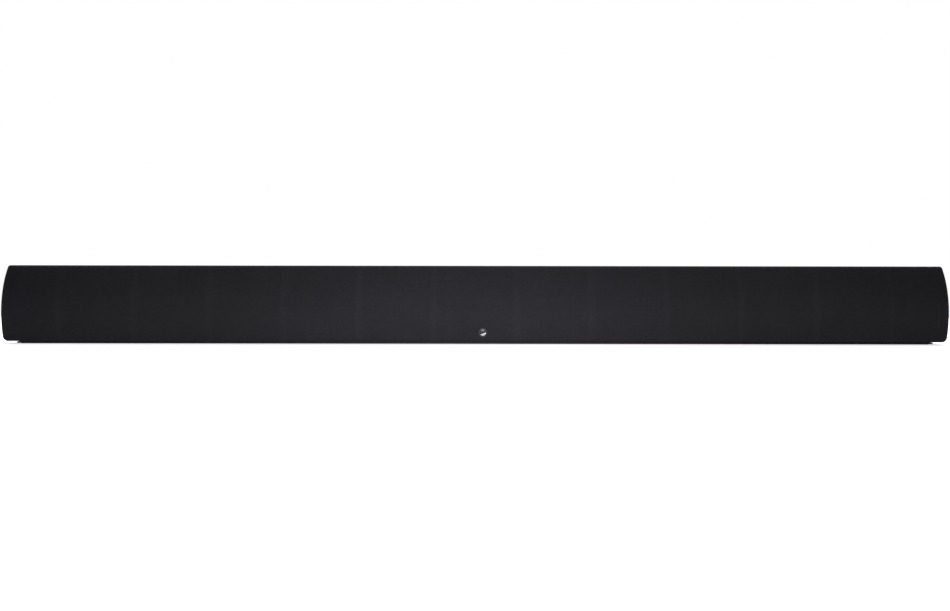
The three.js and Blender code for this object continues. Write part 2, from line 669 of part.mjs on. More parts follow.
// Rubber half roll between the cone's rim and the flange.
function wooferSurround(name) {
  const seat = -FIT * 2 - FLANGE_THICKNESS;
  const rollOuter = SURROUND_RADIUS - SURROUND_LIP;
  const rollMiddle = rollOuter - SURROUND_ROLL;
  const rollInner = rollOuter - SURROUND_ROLL * 2;
  const crown = seat - SURROUND_SKIN - SURROUND_ROLL;
  const shoulder = crown + SURROUND_ROLL * 0.3;
  const hem = CONE_SETBACK;
  const outline = [
    [SURROUND_RADIUS, seat],
    [rollOuter - SURROUND_SKIN, seat],
    [rollMiddle + SURROUND_ROLL * 0.5, shoulder + SURROUND_SKIN],
    [rollMiddle, crown + SURROUND_SKIN],
    [rollMiddle - SURROUND_ROLL * 0.45, shoulder + SURROUND_SKIN],
    [rollInner + SURROUND_SKIN, seat],
    [rollInner + SURROUND_SKIN, hem],
    [rollInner, hem],
    [rollInner, seat - SURROUND_SKIN],
    [rollMiddle - SURROUND_ROLL * 0.7, shoulder],
    [rollMiddle, crown],
    [rollMiddle + SURROUND_ROLL * 0.7, shoulder],
    [rollOuter, seat - SURROUND_SKIN],
    [SURROUND_RADIUS, seat - SURROUND_SKIN],
    [SURROUND_RADIUS, seat],
  ];
  return piece(name, turned(outline), surroundRubber);
}

// Cloth disc that centres the voice coil in the basket.
function wooferSpider(name) {
  const y = [BASKET_DEPTH - BASKET_WALL - FIT - SPIDER_THICKNESS, BASKET_DEPTH - BASKET_WALL - FIT];
  const outer = BASKET_RADIUS - BASKET_TAPER - BASKET_WALL - FIT;
  const inner = COIL_RADIUS + COIL_WALL / 2 + FIT;
  const disc = rodAlongY(outer, y, ROUND_INSIDE);
  const hole = rodAlongY(inner, grown(y, PAST), ROUND_INSIDE);
  return piece(name, cut(disc, hole), spiderCloth);
}

function woofer(prefix, x) {
  const group = new THREE.Group();
  group.position.set(x, BAFFLE_FRONT, DRIVER_HEIGHT);
  group.add(
    wooferBasket(prefix + "_basket"),
    wooferMagnet(prefix + "_magnet"),
    wooferSpider(prefix + "_spider"),
    wooferCone(prefix + "_cone"),
    wooferSurround(prefix + "_surround"),
  );
  return group;
}

function tweeterFaceplate(name) {
  const throat = DOME_RADIUS + FIT;
  const outline = [
    [TWEETER_RADIUS, -FIT - FLANGE_THICKNESS],
    [TWEETER_RADIUS, -FIT],
    [throat, -FIT],
    [throat, -FIT - FLANGE_THICKNESS * 0.3],
    [TWEETER_RADIUS * 0.75, -FIT - FLANGE_THICKNESS],
    [TWEETER_RADIUS, -FIT - FLANGE_THICKNESS],
  ];
  return piece(name, turned(outline), mouldedBlack);
}

function tweeterDome(name) {
  const rim = -FIT;
  const outline = [
    [0, rim - DOME_RISE],
    [DOME_RADIUS * 0.45, rim - DOME_RISE * 0.85],
    [DOME_RADIUS * 0.8, rim - DOME_RISE * 0.45],
    [DOME_RADIUS, rim],
    [DOME_RADIUS - DOME_WALL * 2, rim],
    [DOME_RADIUS * 0.75, rim - DOME_RISE * 0.45 + DOME_WALL],
    [DOME_RADIUS * 0.42, rim - DOME_RISE * 0.85 + DOME_WALL],
    [0, rim - DOME_RISE + DOME_WALL],
  ];
  return piece(name, turned(outline, ROUND_INSIDE), silkDome);
}

function tweeterMagnet(name) {
  const magnet = rodAlongY(TWEETER_MAGNET_RADIUS, [0, TWEETER_MAGNET_DEPTH], ROUND_INSIDE);
  return piece(name, magnet, ferrite);
}

function tweeter(prefix, x) {
  const group = new THREE.Group();
  group.position.set(x, BAFFLE_FRONT, DRIVER_HEIGHT);
  group.add(
    tweeterFaceplate(prefix + "_faceplate"),
    tweeterDome(prefix + "_dome"),
    tweeterMagnet(prefix + "_magnet"),
  );
  return group;
}

// ---------------------------------------------------------------- connector tray and its sockets

// Width and height of each connector's body, the hollow that a plug goes into, and its place in the tray.
const SOCKETS = [
  { name: "power_inlet", x: -64, body: [21, 14], hollow: [16.6, 9.6], depth: 14 },
  { name: "hdmi_socket", x: -22, body: [16.6, 7], hollow: [14.2, 4.8], depth: 9 },
  { name: "optical_socket", x: 18, body: [11, 11], hollow: [7.6, 7.6], depth: 10 },
  { name: "aux_socket", x: 56, body: [9, 9], hollow: [3.6, 3.6], depth: 12, round: true },
];

function ioTray() {
  const { x, z } = trayRanges();
  const outside = box(x, [TRAY_FLOOR, BACK], z);
  const hollow = box(grown(x, -TRAY_WALL), [TRAY_FLOOR + TRAY_WALL, BACK + PAST], grown(z, -TRAY_WALL));
  const holes = SOCKETS.map(({ x: centre, body }) => {
    const [width, height] = body;
    const through = grown([TRAY_FLOOR, TRAY_FLOOR + TRAY_WALL], PAST);
    return box(grown(around(centre, width), FIT), through, grown(around(TRAY_CENTRE_HEIGHT, height), FIT));
  });
  return piece("connector_tray", cut(outside, hollow, ...holes), mouldedBlack);
}

function socket({ name, x, body, hollow, depth, round }) {
  const mouth = TRAY_FLOOR + TRAY_WALL + CONNECTOR_PROUD;
  const block = box(around(x, body[0]), [BOARD_BACK + FIT, mouth], around(TRAY_CENTRE_HEIGHT, body[1]));
  const hollowY = [mouth - depth, mouth + PAST];
  const bore = round
    ? rodAlongY(hollow[0] / 2, hollowY, ROUND_INSIDE).translate(x, 0, TRAY_CENTRE_HEIGHT)
    : box(around(x, hollow[0]), hollowY, around(TRAY_CENTRE_HEIGHT, hollow[1]));
  return piece(name, cut(block, bore), name === "aux_socket" ? bareSteel : mouldedBlack);
}

function powerInlet(size) {
  const inlet = socket(size);
  const mouth = TRAY_FLOOR + TRAY_WALL + CONNECTOR_PROUD;
  const pins = bothSides(INLET_PIN_PITCH / 2).map((x) => {
    const pinY = [mouth - size.depth - PAST, mouth - SOCKET_FLOOR];
    const pin = rodAlongY(INLET_PIN_RADIUS, pinY, INLET_PIN_FACETS);
    return pin.translate(size.x + x, 0, TRAY_CENTRE_HEIGHT);
  });
  inlet.geometry = join(inlet.geometry, ...pins);
  return inlet;
}

// ---------------------------------------------------------------- boards

const BOARD_Z = [FLOOR + BOARD_EDGE_MARGIN, CEILING - BOARD_TOP_MARGIN];

function board(name, x, parts) {
  const slab = box(x, [BOARD_FRONT, BOARD_BACK], BOARD_Z);
  return piece(name, join(slab, ...parts), boardGreen);
}

// A round or square part that stands on a board's back, sunk halfway into the board to join it.
function boardPart({ along, radius, width, breadth, height }, middle, z) {
  const y = [BOARD_BACK - BOARD_THICKNESS / 2, BOARD_BACK + height];
  const x = middle + along;
  return radius
    ? rodAlongY(radius, y, ROUND_INSIDE).translate(x, 0, z)
    : box(around(x, width), y, around(z, breadth));
}

function mainBoard() {
  const aboveTray = (TRAY_CENTRE_HEIGHT + TRAY_HEIGHT / 2 + BOARD_Z[1]) / 2;
  const parts = MAIN_BOARD_PARTS.map((part) => boardPart(part, 0, aboveTray));
  return board("main_board", around(0, MAIN_BOARD_WIDTH), parts);
}

function supplyBoardX() {
  const inner = -MAIN_BOARD_WIDTH / 2 - BOARD_GAP;
  return [inner - SUPPLY_BOARD_WIDTH, inner];
}

function supplyBoard() {
  const x = supplyBoardX();
  const middle = (x[0] + x[1]) / 2;
  const low = BOARD_Z[0] + SUPPLY_PARTS_RISE;
  const parts = SUPPLY_BOARD_PARTS.map((part) => boardPart(part, middle, low));
  return board("power_supply_board", x, parts);
}

function transformer() {
  const [left, right] = supplyBoardX();
  const middle = (left + right) / 2;
  const z = BOARD_Z[1] - TRANSFORMER_SETDOWN;
  const coreFront = BOARD_BACK + CORE_STANDOFF;
  const coreY = [coreFront, coreFront + CORE_THICKNESS];
  const core = box(around(middle, CORE_WIDTH), coreY, around(z, CORE_HEIGHT));
  const windingY = [BOARD_BACK + FIT, BOARD_BACK + WINDING_DEPTH];
  const winding = box(around(middle, WINDING_WIDTH), windingY, around(z, WINDING_HEIGHT));
  return piece("transformer", join(core, winding), coreSteel);
}

// A comb of fins on a flat base, with the fins towards the back.
function heatsink() {
  const left = MAIN_BOARD_WIDTH / 2 + BOARD_GAP;
  const right = left + HEATSINK_WIDTH;
  const base = BOARD_BACK + FIT;
  const step = (HEATSINK_WIDTH - HEATSINK_FIN) / (HEATSINK_FINS - 1);
  const shape = new THREE.Shape();
  shape.moveTo(left, base);
  shape.lineTo(right, base);
  for (let i = HEATSINK_FINS - 1; i >= 0; i -= 1) {
    const x = left + i * step;
    shape.lineTo(x + HEATSINK_FIN, base + HEATSINK_DEPTH);
    shape.lineTo(x, base + HEATSINK_DEPTH);
    if (i > 0) {
      shape.lineTo(x, base + HEATSINK_BASE);
      shape.lineTo(x - step + HEATSINK_FIN, base + HEATSINK_BASE);
    }
  }
  return piece("heatsink", alongZ(shape, around(DRIVER_HEIGHT, HEATSINK_HEIGHT)), aluminium);
}

function sensor() {
  const lens = rodAlongY(SENSOR_RADIUS, [BAFFLE_FRONT - SENSOR_PROUD, BAFFLE_BACK + PAST], ROUND_INSIDE);
  const cardY = [BAFFLE_BACK + FIT, BAFFLE_BACK + FIT + BOARD_THICKNESS];
  const card = box(around(0, SENSOR_CARD_WIDTH), cardY, around(0, SENSOR_CARD_HEIGHT));
  const made = piece("remote_sensor", join(lens, card), sensorRed);
  made.position.set(SENSOR_OFFSET, 0, SENSOR_HEIGHT);
  return made;
}

// A speaker lead from beside the main board, through the bulkhead, to the inner woofer's magnet.
function speakerLead(name, side) {
  const holeY = BAFFLE_BACK + LEAD_HOLE_BACK;
  const holeZ = FLOOR + LEAD_HOLE_RISE;
  const wall = BULKHEAD + BULKHEAD_THICKNESS / 2;
  const run = INNER_WOOFER - MAGNET_RADIUS - LEAD_RADIUS - FIT - wall;
  const endY = BAFFLE_FRONT + BASKET_DEPTH + LEAD_RADIUS + FIT * 2;
  const startX = MAIN_BOARD_WIDTH / 2 - LEAD_START_INSET;
  const startY = BOARD_BACK + LEAD_RADIUS + FIT;
  const route = [
    [startX, startY, holeZ - LEAD_START_DROP],
    [wall - LEAD_STRAIGHT, holeY, holeZ],
    [wall, holeY, holeZ],
    ...LEAD_BENDS.map(({ share, forward, rise }) => [wall + run * share, holeY - forward, holeZ + rise]),
    [wall + run * LEAD_MEETING, endY, DRIVER_HEIGHT - LEAD_END_DROP],
    [wall + run, endY, DRIVER_HEIGHT],
  ];
  const points = route.map(([x, y, z]) => new THREE.Vector3(side * x, y, z));
  const circle = new THREE.Shape().absarc(0, 0, LEAD_RADIUS, 0, Math.PI * 2);
  const tube = new THREE.ExtrudeGeometry(circle, {
    steps: LEAD_STEPS,
    curveSegments: LEAD_FACETS,
    extrudePath: new THREE.CatmullRomCurve3(points),
    bevelEnabled: false,
  });
  return piece(name, tube, rubberBlack);
}

// ---------------------------------------------------------------- controls

const BUTTONS = ["power_button", "source_button", "volume_down_button", "volume_up_button"];
const buttonX = (index) => (index - (BUTTONS.length - 1) / 2) * BUTTON_PITCH;
const buttonOutline = (index, margin) =>
  roundedRectangle(
    around(buttonX(index), BUTTON_WIDTH + margin * 2),
    around(BUTTON_Y, BUTTON_DEPTH + margin * 2),
    BUTTON_DEPTH / 2 + margin - FIT,
  );

function controlBezel() {
  const z = [BEZEL_UNDERSIDE, BAR_HEIGHT];
  const plate = box(around(0, BEZEL_WIDTH), [BEZEL_FRONT, BEZEL_FRONT + BEZEL_DEPTH], z);
  const holes = BUTTONS.map((_, index) => alongZ(buttonOutline(index, FIT), grown(z, PAST)));
  return piece("control_bezel", cut(plate, ...holes), mouldedBlack);
}

function button(name, index) {
  const cap = alongZ(buttonOutline(index, 0), [BUTTON_UNDERSIDE, BAR_HEIGHT + BUTTON_PROUD]);
  const rim = alongZ(buttonOutline(index, BUTTON_RIM), [BUTTON_UNDERSIDE, BEZEL_UNDERSIDE - FIT]);
  return piece(name, join(cap, rim), mouldedBlack);
}

function buttonBoard() {
  const z = [BUTTON_BOARD_TOP - BOARD_THICKNESS, BUTTON_BOARD_TOP];
  const x = grown(around(0, BEZEL_WIDTH), -BUTTON_BOARD_INSET);
  const slab = box(x, [BEZEL_FRONT, BEZEL_FRONT + BEZEL_DEPTH], z);
  const seated = BUTTON_BOARD_TOP - BOARD_THICKNESS / 2;
  const bodyZ = [seated, BUTTON_BOARD_TOP + SWITCH_BODY];
  const plungerZ = [BUTTON_BOARD_TOP, BUTTON_UNDERSIDE - BUTTON_TRAVEL - FIT];
  const switches = BUTTONS.flatMap((_, index) => {
    const centre = buttonX(index);
    const body = box(around(centre, SWITCH_WIDTH), around(BUTTON_Y, SWITCH_WIDTH), bodyZ);
    const plunger = rodAlongZ(SWITCH_RADIUS, plungerZ, SWITCH_FACETS);
    return [body, plunger.translate(centre, BUTTON_Y, 0)];
  });
  return piece("button_board", join(slab, ...switches), boardGreen);
}

// ---------------------------------------------------------------- assembly

const soundbar = new THREE.Group();
const feet = footRanges();
const [inletSize, ...socketSizes] = SOCKETS;
soundbar.add(
  grilleCloth(),
  grilleFrame(),
  badge(),
  cabinetShell(),
  basePlate(),
  footStrip("front_foot_strip", feet.front),
  footStrip("rear_foot_strip", feet.back),
  endCap("left_end_cap", -1),
  endCap("right_end_cap", 1),
  bulkhead("left_bulkhead", -1),
  bulkhead("right_bulkhead", 1),
  frontBaffle(),
  wallMount("left_wall_mount", -WALL_MOUNT),
  wallMount("right_wall_mount", WALL_MOUNT),
  bassPort("left_bass_port", -PORT),
  bassPort("right_bass_port", PORT),
  woofer("left_outer_woofer", -OUTER_WOOFER),
  woofer("left_inner_woofer", -INNER_WOOFER),
  woofer("right_inner_woofer", INNER_WOOFER),
  woofer("right_outer_woofer", OUTER_WOOFER),
  tweeter("left_tweeter", -TWEETER),
  tweeter("right_tweeter", TWEETER),
  ioTray(),
  powerInlet(inletSize),
  ...socketSizes.map(socket),
  mainBoard(),
  supplyBoard(),
  transformer(),
  heatsink(),
  sensor(),
  speakerLead("left_speaker_lead", -1),
  speakerLead("right_speaker_lead", 1),
  controlBezel(),
  ...BUTTONS.map(button),
  buttonBoard(),
);

export default soundbar;
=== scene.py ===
"""A long soundbar with a bowed, cloth-covered front, finished around its packed frame.

Everything is in metres: X runs along the bar, Y from its front to its back, and Z is up.
"""

import json
import math

import bmesh
import bpy
from bpy.props import FloatProperty, FloatVectorProperty, PointerProperty
from mathutils import Matrix, Vector


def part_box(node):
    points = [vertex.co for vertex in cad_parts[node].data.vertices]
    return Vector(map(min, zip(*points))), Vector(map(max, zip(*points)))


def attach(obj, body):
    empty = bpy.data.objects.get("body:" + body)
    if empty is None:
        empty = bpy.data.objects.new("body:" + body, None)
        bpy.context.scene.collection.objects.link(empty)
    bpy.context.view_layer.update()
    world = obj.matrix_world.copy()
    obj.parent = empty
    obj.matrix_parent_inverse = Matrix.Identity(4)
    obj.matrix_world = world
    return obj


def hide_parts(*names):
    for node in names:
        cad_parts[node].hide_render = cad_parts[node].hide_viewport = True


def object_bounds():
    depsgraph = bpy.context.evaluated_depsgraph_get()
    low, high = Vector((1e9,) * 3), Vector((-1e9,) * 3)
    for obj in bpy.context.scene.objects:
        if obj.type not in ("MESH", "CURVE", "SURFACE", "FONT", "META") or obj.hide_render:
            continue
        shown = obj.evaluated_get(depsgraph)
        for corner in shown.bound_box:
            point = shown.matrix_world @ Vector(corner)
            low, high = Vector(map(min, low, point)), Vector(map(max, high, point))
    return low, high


bl_info = {
    "name": "Soundbar",
    "version": (1, 0, 0),
    "blender": (4, 5, 0),
    "location": "View3D > Sidebar > Soundbar",
    "description": "Builds the cloth, drivers, trim and finishes of a soundbar around its frame",
    "category": "Object",
}

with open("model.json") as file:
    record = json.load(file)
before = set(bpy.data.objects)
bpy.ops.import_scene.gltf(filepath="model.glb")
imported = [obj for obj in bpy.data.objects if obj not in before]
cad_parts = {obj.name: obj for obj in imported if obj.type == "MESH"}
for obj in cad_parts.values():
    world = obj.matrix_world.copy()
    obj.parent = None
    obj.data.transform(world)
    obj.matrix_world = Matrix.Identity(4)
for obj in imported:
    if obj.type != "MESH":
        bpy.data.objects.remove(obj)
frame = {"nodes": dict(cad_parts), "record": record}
CAD_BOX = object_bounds()
NODES = frame["nodes"]
BODIES = frame["record"]["behaviour"]["bodies"]
BODY_OF = {node: body for body, nodes in BODIES.items() for node in nodes}

MM = 0.001
SIDES = ("left", "right")
WOOFERS = ("left_outer_woofer", "left_inner_woofer", "right_inner_woofer", "right_outer_woofer")
TWEETERS = ("left_tweeter", "right_tweeter")
BUTTONS = ("power_button", "source_button", "volume_down_button", "volume_up_button")
FRONTWARD = Vector((0, -1, 0))
BACKWARD = Vector((0, 1, 0))
UPWARD = Vector((0, 0, 1))
DOWNWARD = Vector((0, 0, -1))
ORIGIN = (0, 0, 0)


def centre_of(node):
    low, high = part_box(node)
    return (low + high) / 2


def mouth_of(node):
    """The middle of a node's back."""
    middle = centre_of(node)
    middle.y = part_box(node)[1].y
    return middle


BAFFLE_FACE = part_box("front_baffle")[0].y
BACK_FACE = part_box("cabinet_shell")[1].y
OUTER_WOOFER = centre_of(WOOFERS[-1] + "_magnet").x
RIB_PITCH = OUTER_WOOFER - centre_of(TWEETERS[-1] + "_magnet").x
RIBS = [OUTER_WOOFER + RIB_PITCH / 2 - step * RIB_PITCH for step in range(6)]


# ---- sizes and colours that a user may change


class SoundbarClothSettings(bpy.types.PropertyGroup):
    """The stretched cloth over the grille."""

    thickness: FloatProperty(
        name="Thickness", description="Thickness of the cloth", default=0.8 * MM, unit="LENGTH"
    )
    yarn_pitch: FloatProperty(
        name="Yarn pitch", description="From one yarn to the next", default=0.75 * MM, unit="LENGTH"
    )
    sink: FloatProperty(
        name="Sink", description="How far it sinks between the ribs", default=0.32 * MM, unit="LENGTH"
    )
    apex_height: FloatProperty(
        name="Foremost height", description="Height of the foremost line", default=40 * MM, unit="LENGTH"
    )
    top_setback: FloatProperty(
        name="Top setback",
        description="From the foremost line back to the top edge",
        default=22.9 * MM,
        unit="LENGTH",
    )
    roll: FloatProperty(
        name="Roll", description="Radius of the cloth over the frame's edge", default=1.6 * MM, unit="LENGTH"
    )
    upper_corner: FloatProperty(
        name="Upper corners", description="Radius of the upper corners", default=2.6 * MM, unit="LENGTH"
    )
    lower_corner: FloatProperty(
        name="Lower corners", description="Radius of the lower corners", default=5.6 * MM, unit="LENGTH"
    )
    mesh_step: FloatProperty(
        name="Mesh step", description="From one mesh line to the next", default=5 * MM, unit="LENGTH"
    )
    dark_yarn: FloatVectorProperty(
        name="Dark yarn", description="Darker yarns", default=(0.0055, 0.0054, 0.0062), subtype="COLOR"
    )
    light_yarn: FloatVectorProperty(
        name="Light yarn", description="Lighter yarns", default=(0.0155, 0.015, 0.0178), subtype="COLOR"
    )


class SoundbarTrimSettings(bpy.types.PropertyGroup):
    """Softened edges and the black mouldings."""

    edge: FloatProperty(
        name="Edge radius", description="Radius of a moulded edge", default=0.5 * MM, unit="LENGTH"
    )
    fine_edge: FloatProperty(
        name="Fine edge radius", description="Radius of a small part's edge", default=0.25 * MM, unit="LENGTH"
    )
    moulding: FloatVectorProperty(
        name="Moulding", description="Black mouldings", default=(0.0085, 0.0085, 0.009), subtype="COLOR"
    )


class SoundbarLightSettings(bpy.types.PropertyGroup):
    """The soft studio light."""

    key: FloatProperty(name="Key", description="Power of the wide lamp in front", default=86.0, unit="POWER")
    key_angle: FloatProperty(
        name="Key angle", description="Width of its cone", default=math.radians(76), unit="ROTATION"
    )
    accent: FloatProperty(
        name="Accent", description="Power of the narrow lamp in front", default=60.0, unit="POWER"
    )
    accent_angle: FloatProperty(
        name="Accent angle", description="Width of its cone", default=math.radians(30), unit="ROTATION"
    )
    softbox: FloatProperty(
        name="Softbox", description="Power of the softbox above and behind", default=290.0, unit="POWER"
    )
    surroundings: FloatProperty(name="Surroundings", description="Strength of the white room", default=0.2)
    underlight: FloatProperty(name="Underlight", description="Light from below the table", default=0.6)


class SoundbarCameraSettings(bpy.types.PropertyGroup):
    """Where the camera stands."""

    distance: FloatProperty(
        name="Distance", description="From the foremost line to the camera", default=1.4, unit="LENGTH"
    )
    height: FloatProperty(name="Height", description="Height of the lens", default=49 * MM, unit="LENGTH")
    lens: FloatProperty(name="Lens", description="Focal length in millimetres", default=41.96)
    roll: FloatProperty(
        name="Roll", description="Turn about its line of sight", default=math.radians(0.086), unit="ROTATION"
    )


class Bow:
    """The bowed section of the front: an arc through its top edge and its foremost line."""

    def __init__(self, settings):
        low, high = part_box("grille_cloth")
        rise = high.z - settings.apex_height
        self.apex = settings.apex_height
        self.radius = (rise**2 + settings.top_setback**2) / (2 * settings.top_setback)
        self.centre = low.y + self.radius

    def tilt(self, z):
        """Angle by which the front faces up at a height."""
        return math.asin(min(max((z - self.apex) / self.radius, -1), 1))

    def front(self, z):
        return self.centre - self.radius * math.cos(self.tilt(z))

    def girth(self, z):
        """Length around the section from the foremost line."""
        return self.radius * self.tilt(z)


# ---- shader nodes


def put(tree, kind, values=None, **settings):
    """Adds a node. Each value is a number, a colour or another node's output."""
    node = tree.nodes.new(kind)
    for name, value in settings.items():
        setattr(node, name, value)
    for name, value in (values or {}).items():
        if isinstance(value, bpy.types.NodeSocket):
            tree.links.new(value, node.inputs[name])
        else:
            node.inputs[name].default_value = value
    return node


def calc(tree, operation, *values, clamp=False):
    """A Math node's output."""
    return put(
        tree, "ShaderNodeMath", dict(enumerate(values)), operation=operation, use_clamp=clamp
    ).outputs[0]


def mix(tree, share, first, second):
    """A mix of two colours. In a Mix node, input 0 is the share, and 6 and 7 are the colours."""
    first, second = (
        value if isinstance(value, bpy.types.NodeSocket) else (*value[:3], 1) for value in (first, second)
    )
    return put(tree, "ShaderNodeMix", {0: share, 6: first, 7: second}, data_type="RGBA").outputs[2]


def fade(tree, value, low, high, to_low=0.0, to_high=1.0):
    """Smoothly maps a value's range to another range."""
    values = {0: value, 1: low, 2: high, 3: to_low, 4: to_high}
    return put(tree, "ShaderNodeMapRange", values, interpolation_type="SMOOTHSTEP").outputs[0]


def noise(tree, spot, scale, detail, **more):
    values = {"Vector": spot, "Scale": scale, "Detail": detail, **more}
    return put(tree, "ShaderNodeTexNoise", values).outputs["Fac"]


def cells(tree, spot, scale):
    return put(tree, "ShaderNodeTexVoronoi", {"Vector": spot, "Scale": scale}).outputs["Distance"]


def waves(tree, spot, scale, distortion, way):
    values = {"Vector": spot, "Scale": scale, "Distortion": distortion}
    return put(tree, "ShaderNodeTexWave", values, bands_direction=way).outputs["Fac"]


def mapped(tree, spot, **values):
    return put(tree, "ShaderNodeMapping", {"Vector": spot, **values}).outputs[0]


def bump(tree, height, depth, strength):
    return put(tree, "ShaderNodeBump", {"Height": height, "Distance": depth, "Strength": strength}).outputs[0]


def new_group(name, inputs, outputs):
    """A shader node group. inputs are (label, kind, default) and outputs are labels of numbers."""
    group = bpy.data.node_groups.new(name, "ShaderNodeTree")
    for label, kind, default in inputs:
        socket = group.interface.new_socket(name=label, in_out="INPUT", socket_type="NodeSocket" + kind)
        if default is not None:
            socket.default_value = default
    for label in outputs:
        group.interface.new_socket(name=label, in_out="OUTPUT", socket_type="NodeSocketFloat")
    return group, put(group, "NodeGroupInput").outputs, put(group, "NodeGroupOutput").inputs


def moulded_grain():
    """Fine spark-eroded grain of a moulding, with slow changes of gloss and tone."""
    group, given, result = new_group(
        "moulded_grain",
        [("Position", "Vector", None), ("Grain Size", "Float", 0.5 * MM), ("Unevenness", "Float", 0.1)],
        ["Height", "Gloss Change", "Tone"],
    )
    scale = calc(group, "DIVIDE", 1.0, given["Grain Size"])
    slow = noise(group, given["Position"], 28.0, 3.0)
    pits = calc(group, "MULTIPLY", cells(group, given["Position"], scale), 0.5)
    height = calc(group, "ADD", noise(group, given["Position"], scale, 2.0), pits)
    change = calc(group, "MULTIPLY", calc(group, "SUBTRACT", slow, 0.5), given["Unevenness"])
    group.links.new(height, result["Height"])
    group.links.new(change, result["Gloss Change"])
    group.links.new(calc(group, "MULTIPLY_ADD", change, 1.5, 1.0), result["Tone"])
    return group


def woven_yarn():
    """Plain weave: yarns that pass over and under each other, each with its own tone, with painted shade in
    the crevices between them.
    """
    group, given, result = new_group(
        "woven_yarn",
        [("Surface", "Vector", None), ("Pitch", "Float", 0.8 * MM), ("Yarn Spread", "Float", 0.5)],
        ["Height", "Tone"],
    )
    wander = noise(group, given["Surface"], 180.0, 1.0)
    split = put(group, "ShaderNodeSeparateXYZ", {0: given["Surface"]}).outputs
    drift = calc(group, "MULTIPLY", calc(group, "SUBTRACT", wander, 0.5), 0.35)
    ways = [calc(group, "ADD", calc(group, "DIVIDE", split[axis], given["Pitch"]), drift) for axis in "XY"]
    warp, weft = (
        calc(group, "ABSOLUTE", calc(group, "SINE", calc(group, "MULTIPLY", way, math.pi))) for way in ways
    )
    column, row = (calc(group, "FLOOR", way) for way in ways)
    over = calc(group, "FLOORED_MODULO", calc(group, "ADD", column, row), 2.0)
    under = calc(group, "SUBTRACT", 1.0, over)

    def crown(main, other):
        return calc(group, "MULTIPLY", main, calc(group, "MULTIPLY_ADD", other, 0.6, 0.4))

    def uppermost(of_warp, of_weft):
        shown = calc(group, "MULTIPLY", of_weft, under)
        return calc(group, "MULTIPLY_ADD", of_warp, over, shown)

    height = uppermost(crown(warp, weft), crown(weft, warp))
    tones = [
        put(group, "ShaderNodeTexWhiteNoise", {"W": number}, noise_dimensions="1D").outputs["Value"]
        for number in (column, calc(group, "ADD", row, 0.37))
    ]
    own = calc(group, "MULTIPLY", calc(group, "SUBTRACT", uppermost(*tones), 0.5), given["Yarn Spread"])
    group.links.new(height, result["Height"])
    # painted shade: the tone follows the yarns' height, so it is darker in the crevices between yarns
    group.links.new(calc(group, "MULTIPLY_ADD", height, 0.9, own), result["Tone"])
    return group


def settled_dust():
    """Thin dust on what faces up, broken up by noise."""
    group, given, result = new_group(
        "settled_dust", [("Position", "Vector", None), ("Amount", "Float", 0.2)], ["Mask"]
    )
    normal = put(group, "ShaderNodeNewGeometry").outputs["Normal"]
    up = fade(group, put(group, "ShaderNodeSeparateXYZ", {0: normal}).outputs["Z"], 0.2, 0.95)
    patches = fade(group, noise(group, given["Position"], 45.0, 6.0), 0.35, 0.75)
    specks = fade(group, noise(group, given["Position"], 1600.0, 1.0), 0.4, 0.65, 0.4, 1.0)
    cover = calc(group, "MULTIPLY", calc(group, "MULTIPLY", up, patches), specks)
    group.links.new(calc(group, "MULTIPLY", cover, given["Amount"]), result["Mask"])
    return group


GROUPS = {}


def use_group(tree, maker, values):
    """Places a shared group in a material, with that material's own values."""
    if maker not in GROUPS:
        GROUPS[maker] = maker()
    return put(tree, "ShaderNodeGroup", values, node_tree=GROUPS[maker]).outputs


def new_material(name):
    """A material with an empty tree. Returns it, its tree and the place on the object."""
    material = bpy.data.materials.new(name)
    material.use_nodes = True
    material.node_tree.nodes.clear()
    coords = put(material.node_tree, "ShaderNodeTexCoord").outputs
    return material, material.node_tree, coords["Object"]


def shade(material, **values):
    """Ends a material with a Principled shader."""
    values = {label.replace("_", " "): value for label, value in values.items()}
    shader = put(material.node_tree, "ShaderNodeBsdfPrincipled", values)
    put(material.node_tree, "ShaderNodeOutputMaterial", {"Surface": shader.outputs[0]})
    return material


def painted_rib_light_mask(tree, spot):
    """1 where a rib of the frame backs the cloth, fading out beside it: the mask of painted light that stands
    for the rib lit through the cloth.
    """
    along = calc(tree, "ABSOLUTE", put(tree, "ShaderNodeSeparateXYZ", {0: spot}).outputs["X"])
    steps = calc(tree, "DIVIDE", calc(tree, "SUBTRACT", along, RIBS[-1]), RIB_PITCH)
    aside = calc(tree, "ABSOLUTE", calc(tree, "SUBTRACT", steps, calc(tree, "ROUND", steps)))
    near = fade(tree, calc(tree, "MULTIPLY", aside, RIB_PITCH), 6.5 * MM, 2.0 * MM)
    return calc(tree, "MULTIPLY", near, calc(tree, "GREATER_THAN", steps, -0.5))


def speaker_cloth(settings):
    """Near-black woven speaker cloth, with painted light where a rib backs it and painted shade between its
    yarns.
    """
    material, tree, spot = new_material("speaker_cloth")
    values = {"Surface": spot.node.outputs["UV"], "Pitch": settings.yarn_pitch, "Yarn Spread": 0.12}
    yarn = use_group(tree, woven_yarn, values)
    # the yarn tone carries painted shade in the crevices between yarns
    tone = calc(tree, "MULTIPLY_ADD", noise(tree, spot, 260.0, 3.0), 0.5, yarn["Tone"])
    tone = calc(tree, "MULTIPLY_ADD", noise(tree, spot, 22.0, 2.0), 0.3, tone)
    # painted light: lighter where a rib backs the cloth, standing for the rib lit through it
    tone = calc(tree, "MULTIPLY_ADD", painted_rib_light_mask(tree, spot), 0.12, tone)
    return shade(
        material,
        Base_Color=mix(tree, fade(tree, tone, 0.1, 1.9), settings.dark_yarn, settings.light_yarn),
        Roughness=fade(tree, tone, 0.2, 1.6, 0.98, 0.8),
        Specular_IOR_Level=0.06,
        Sheen_Weight=0.015,
        Sheen_Roughness=0.35,
        Sheen_Tint=(0.8, 0.87, 1.0, 1.0),
        Normal=bump(tree, yarn["Height"], 0.18 * MM, 0.8),
    )


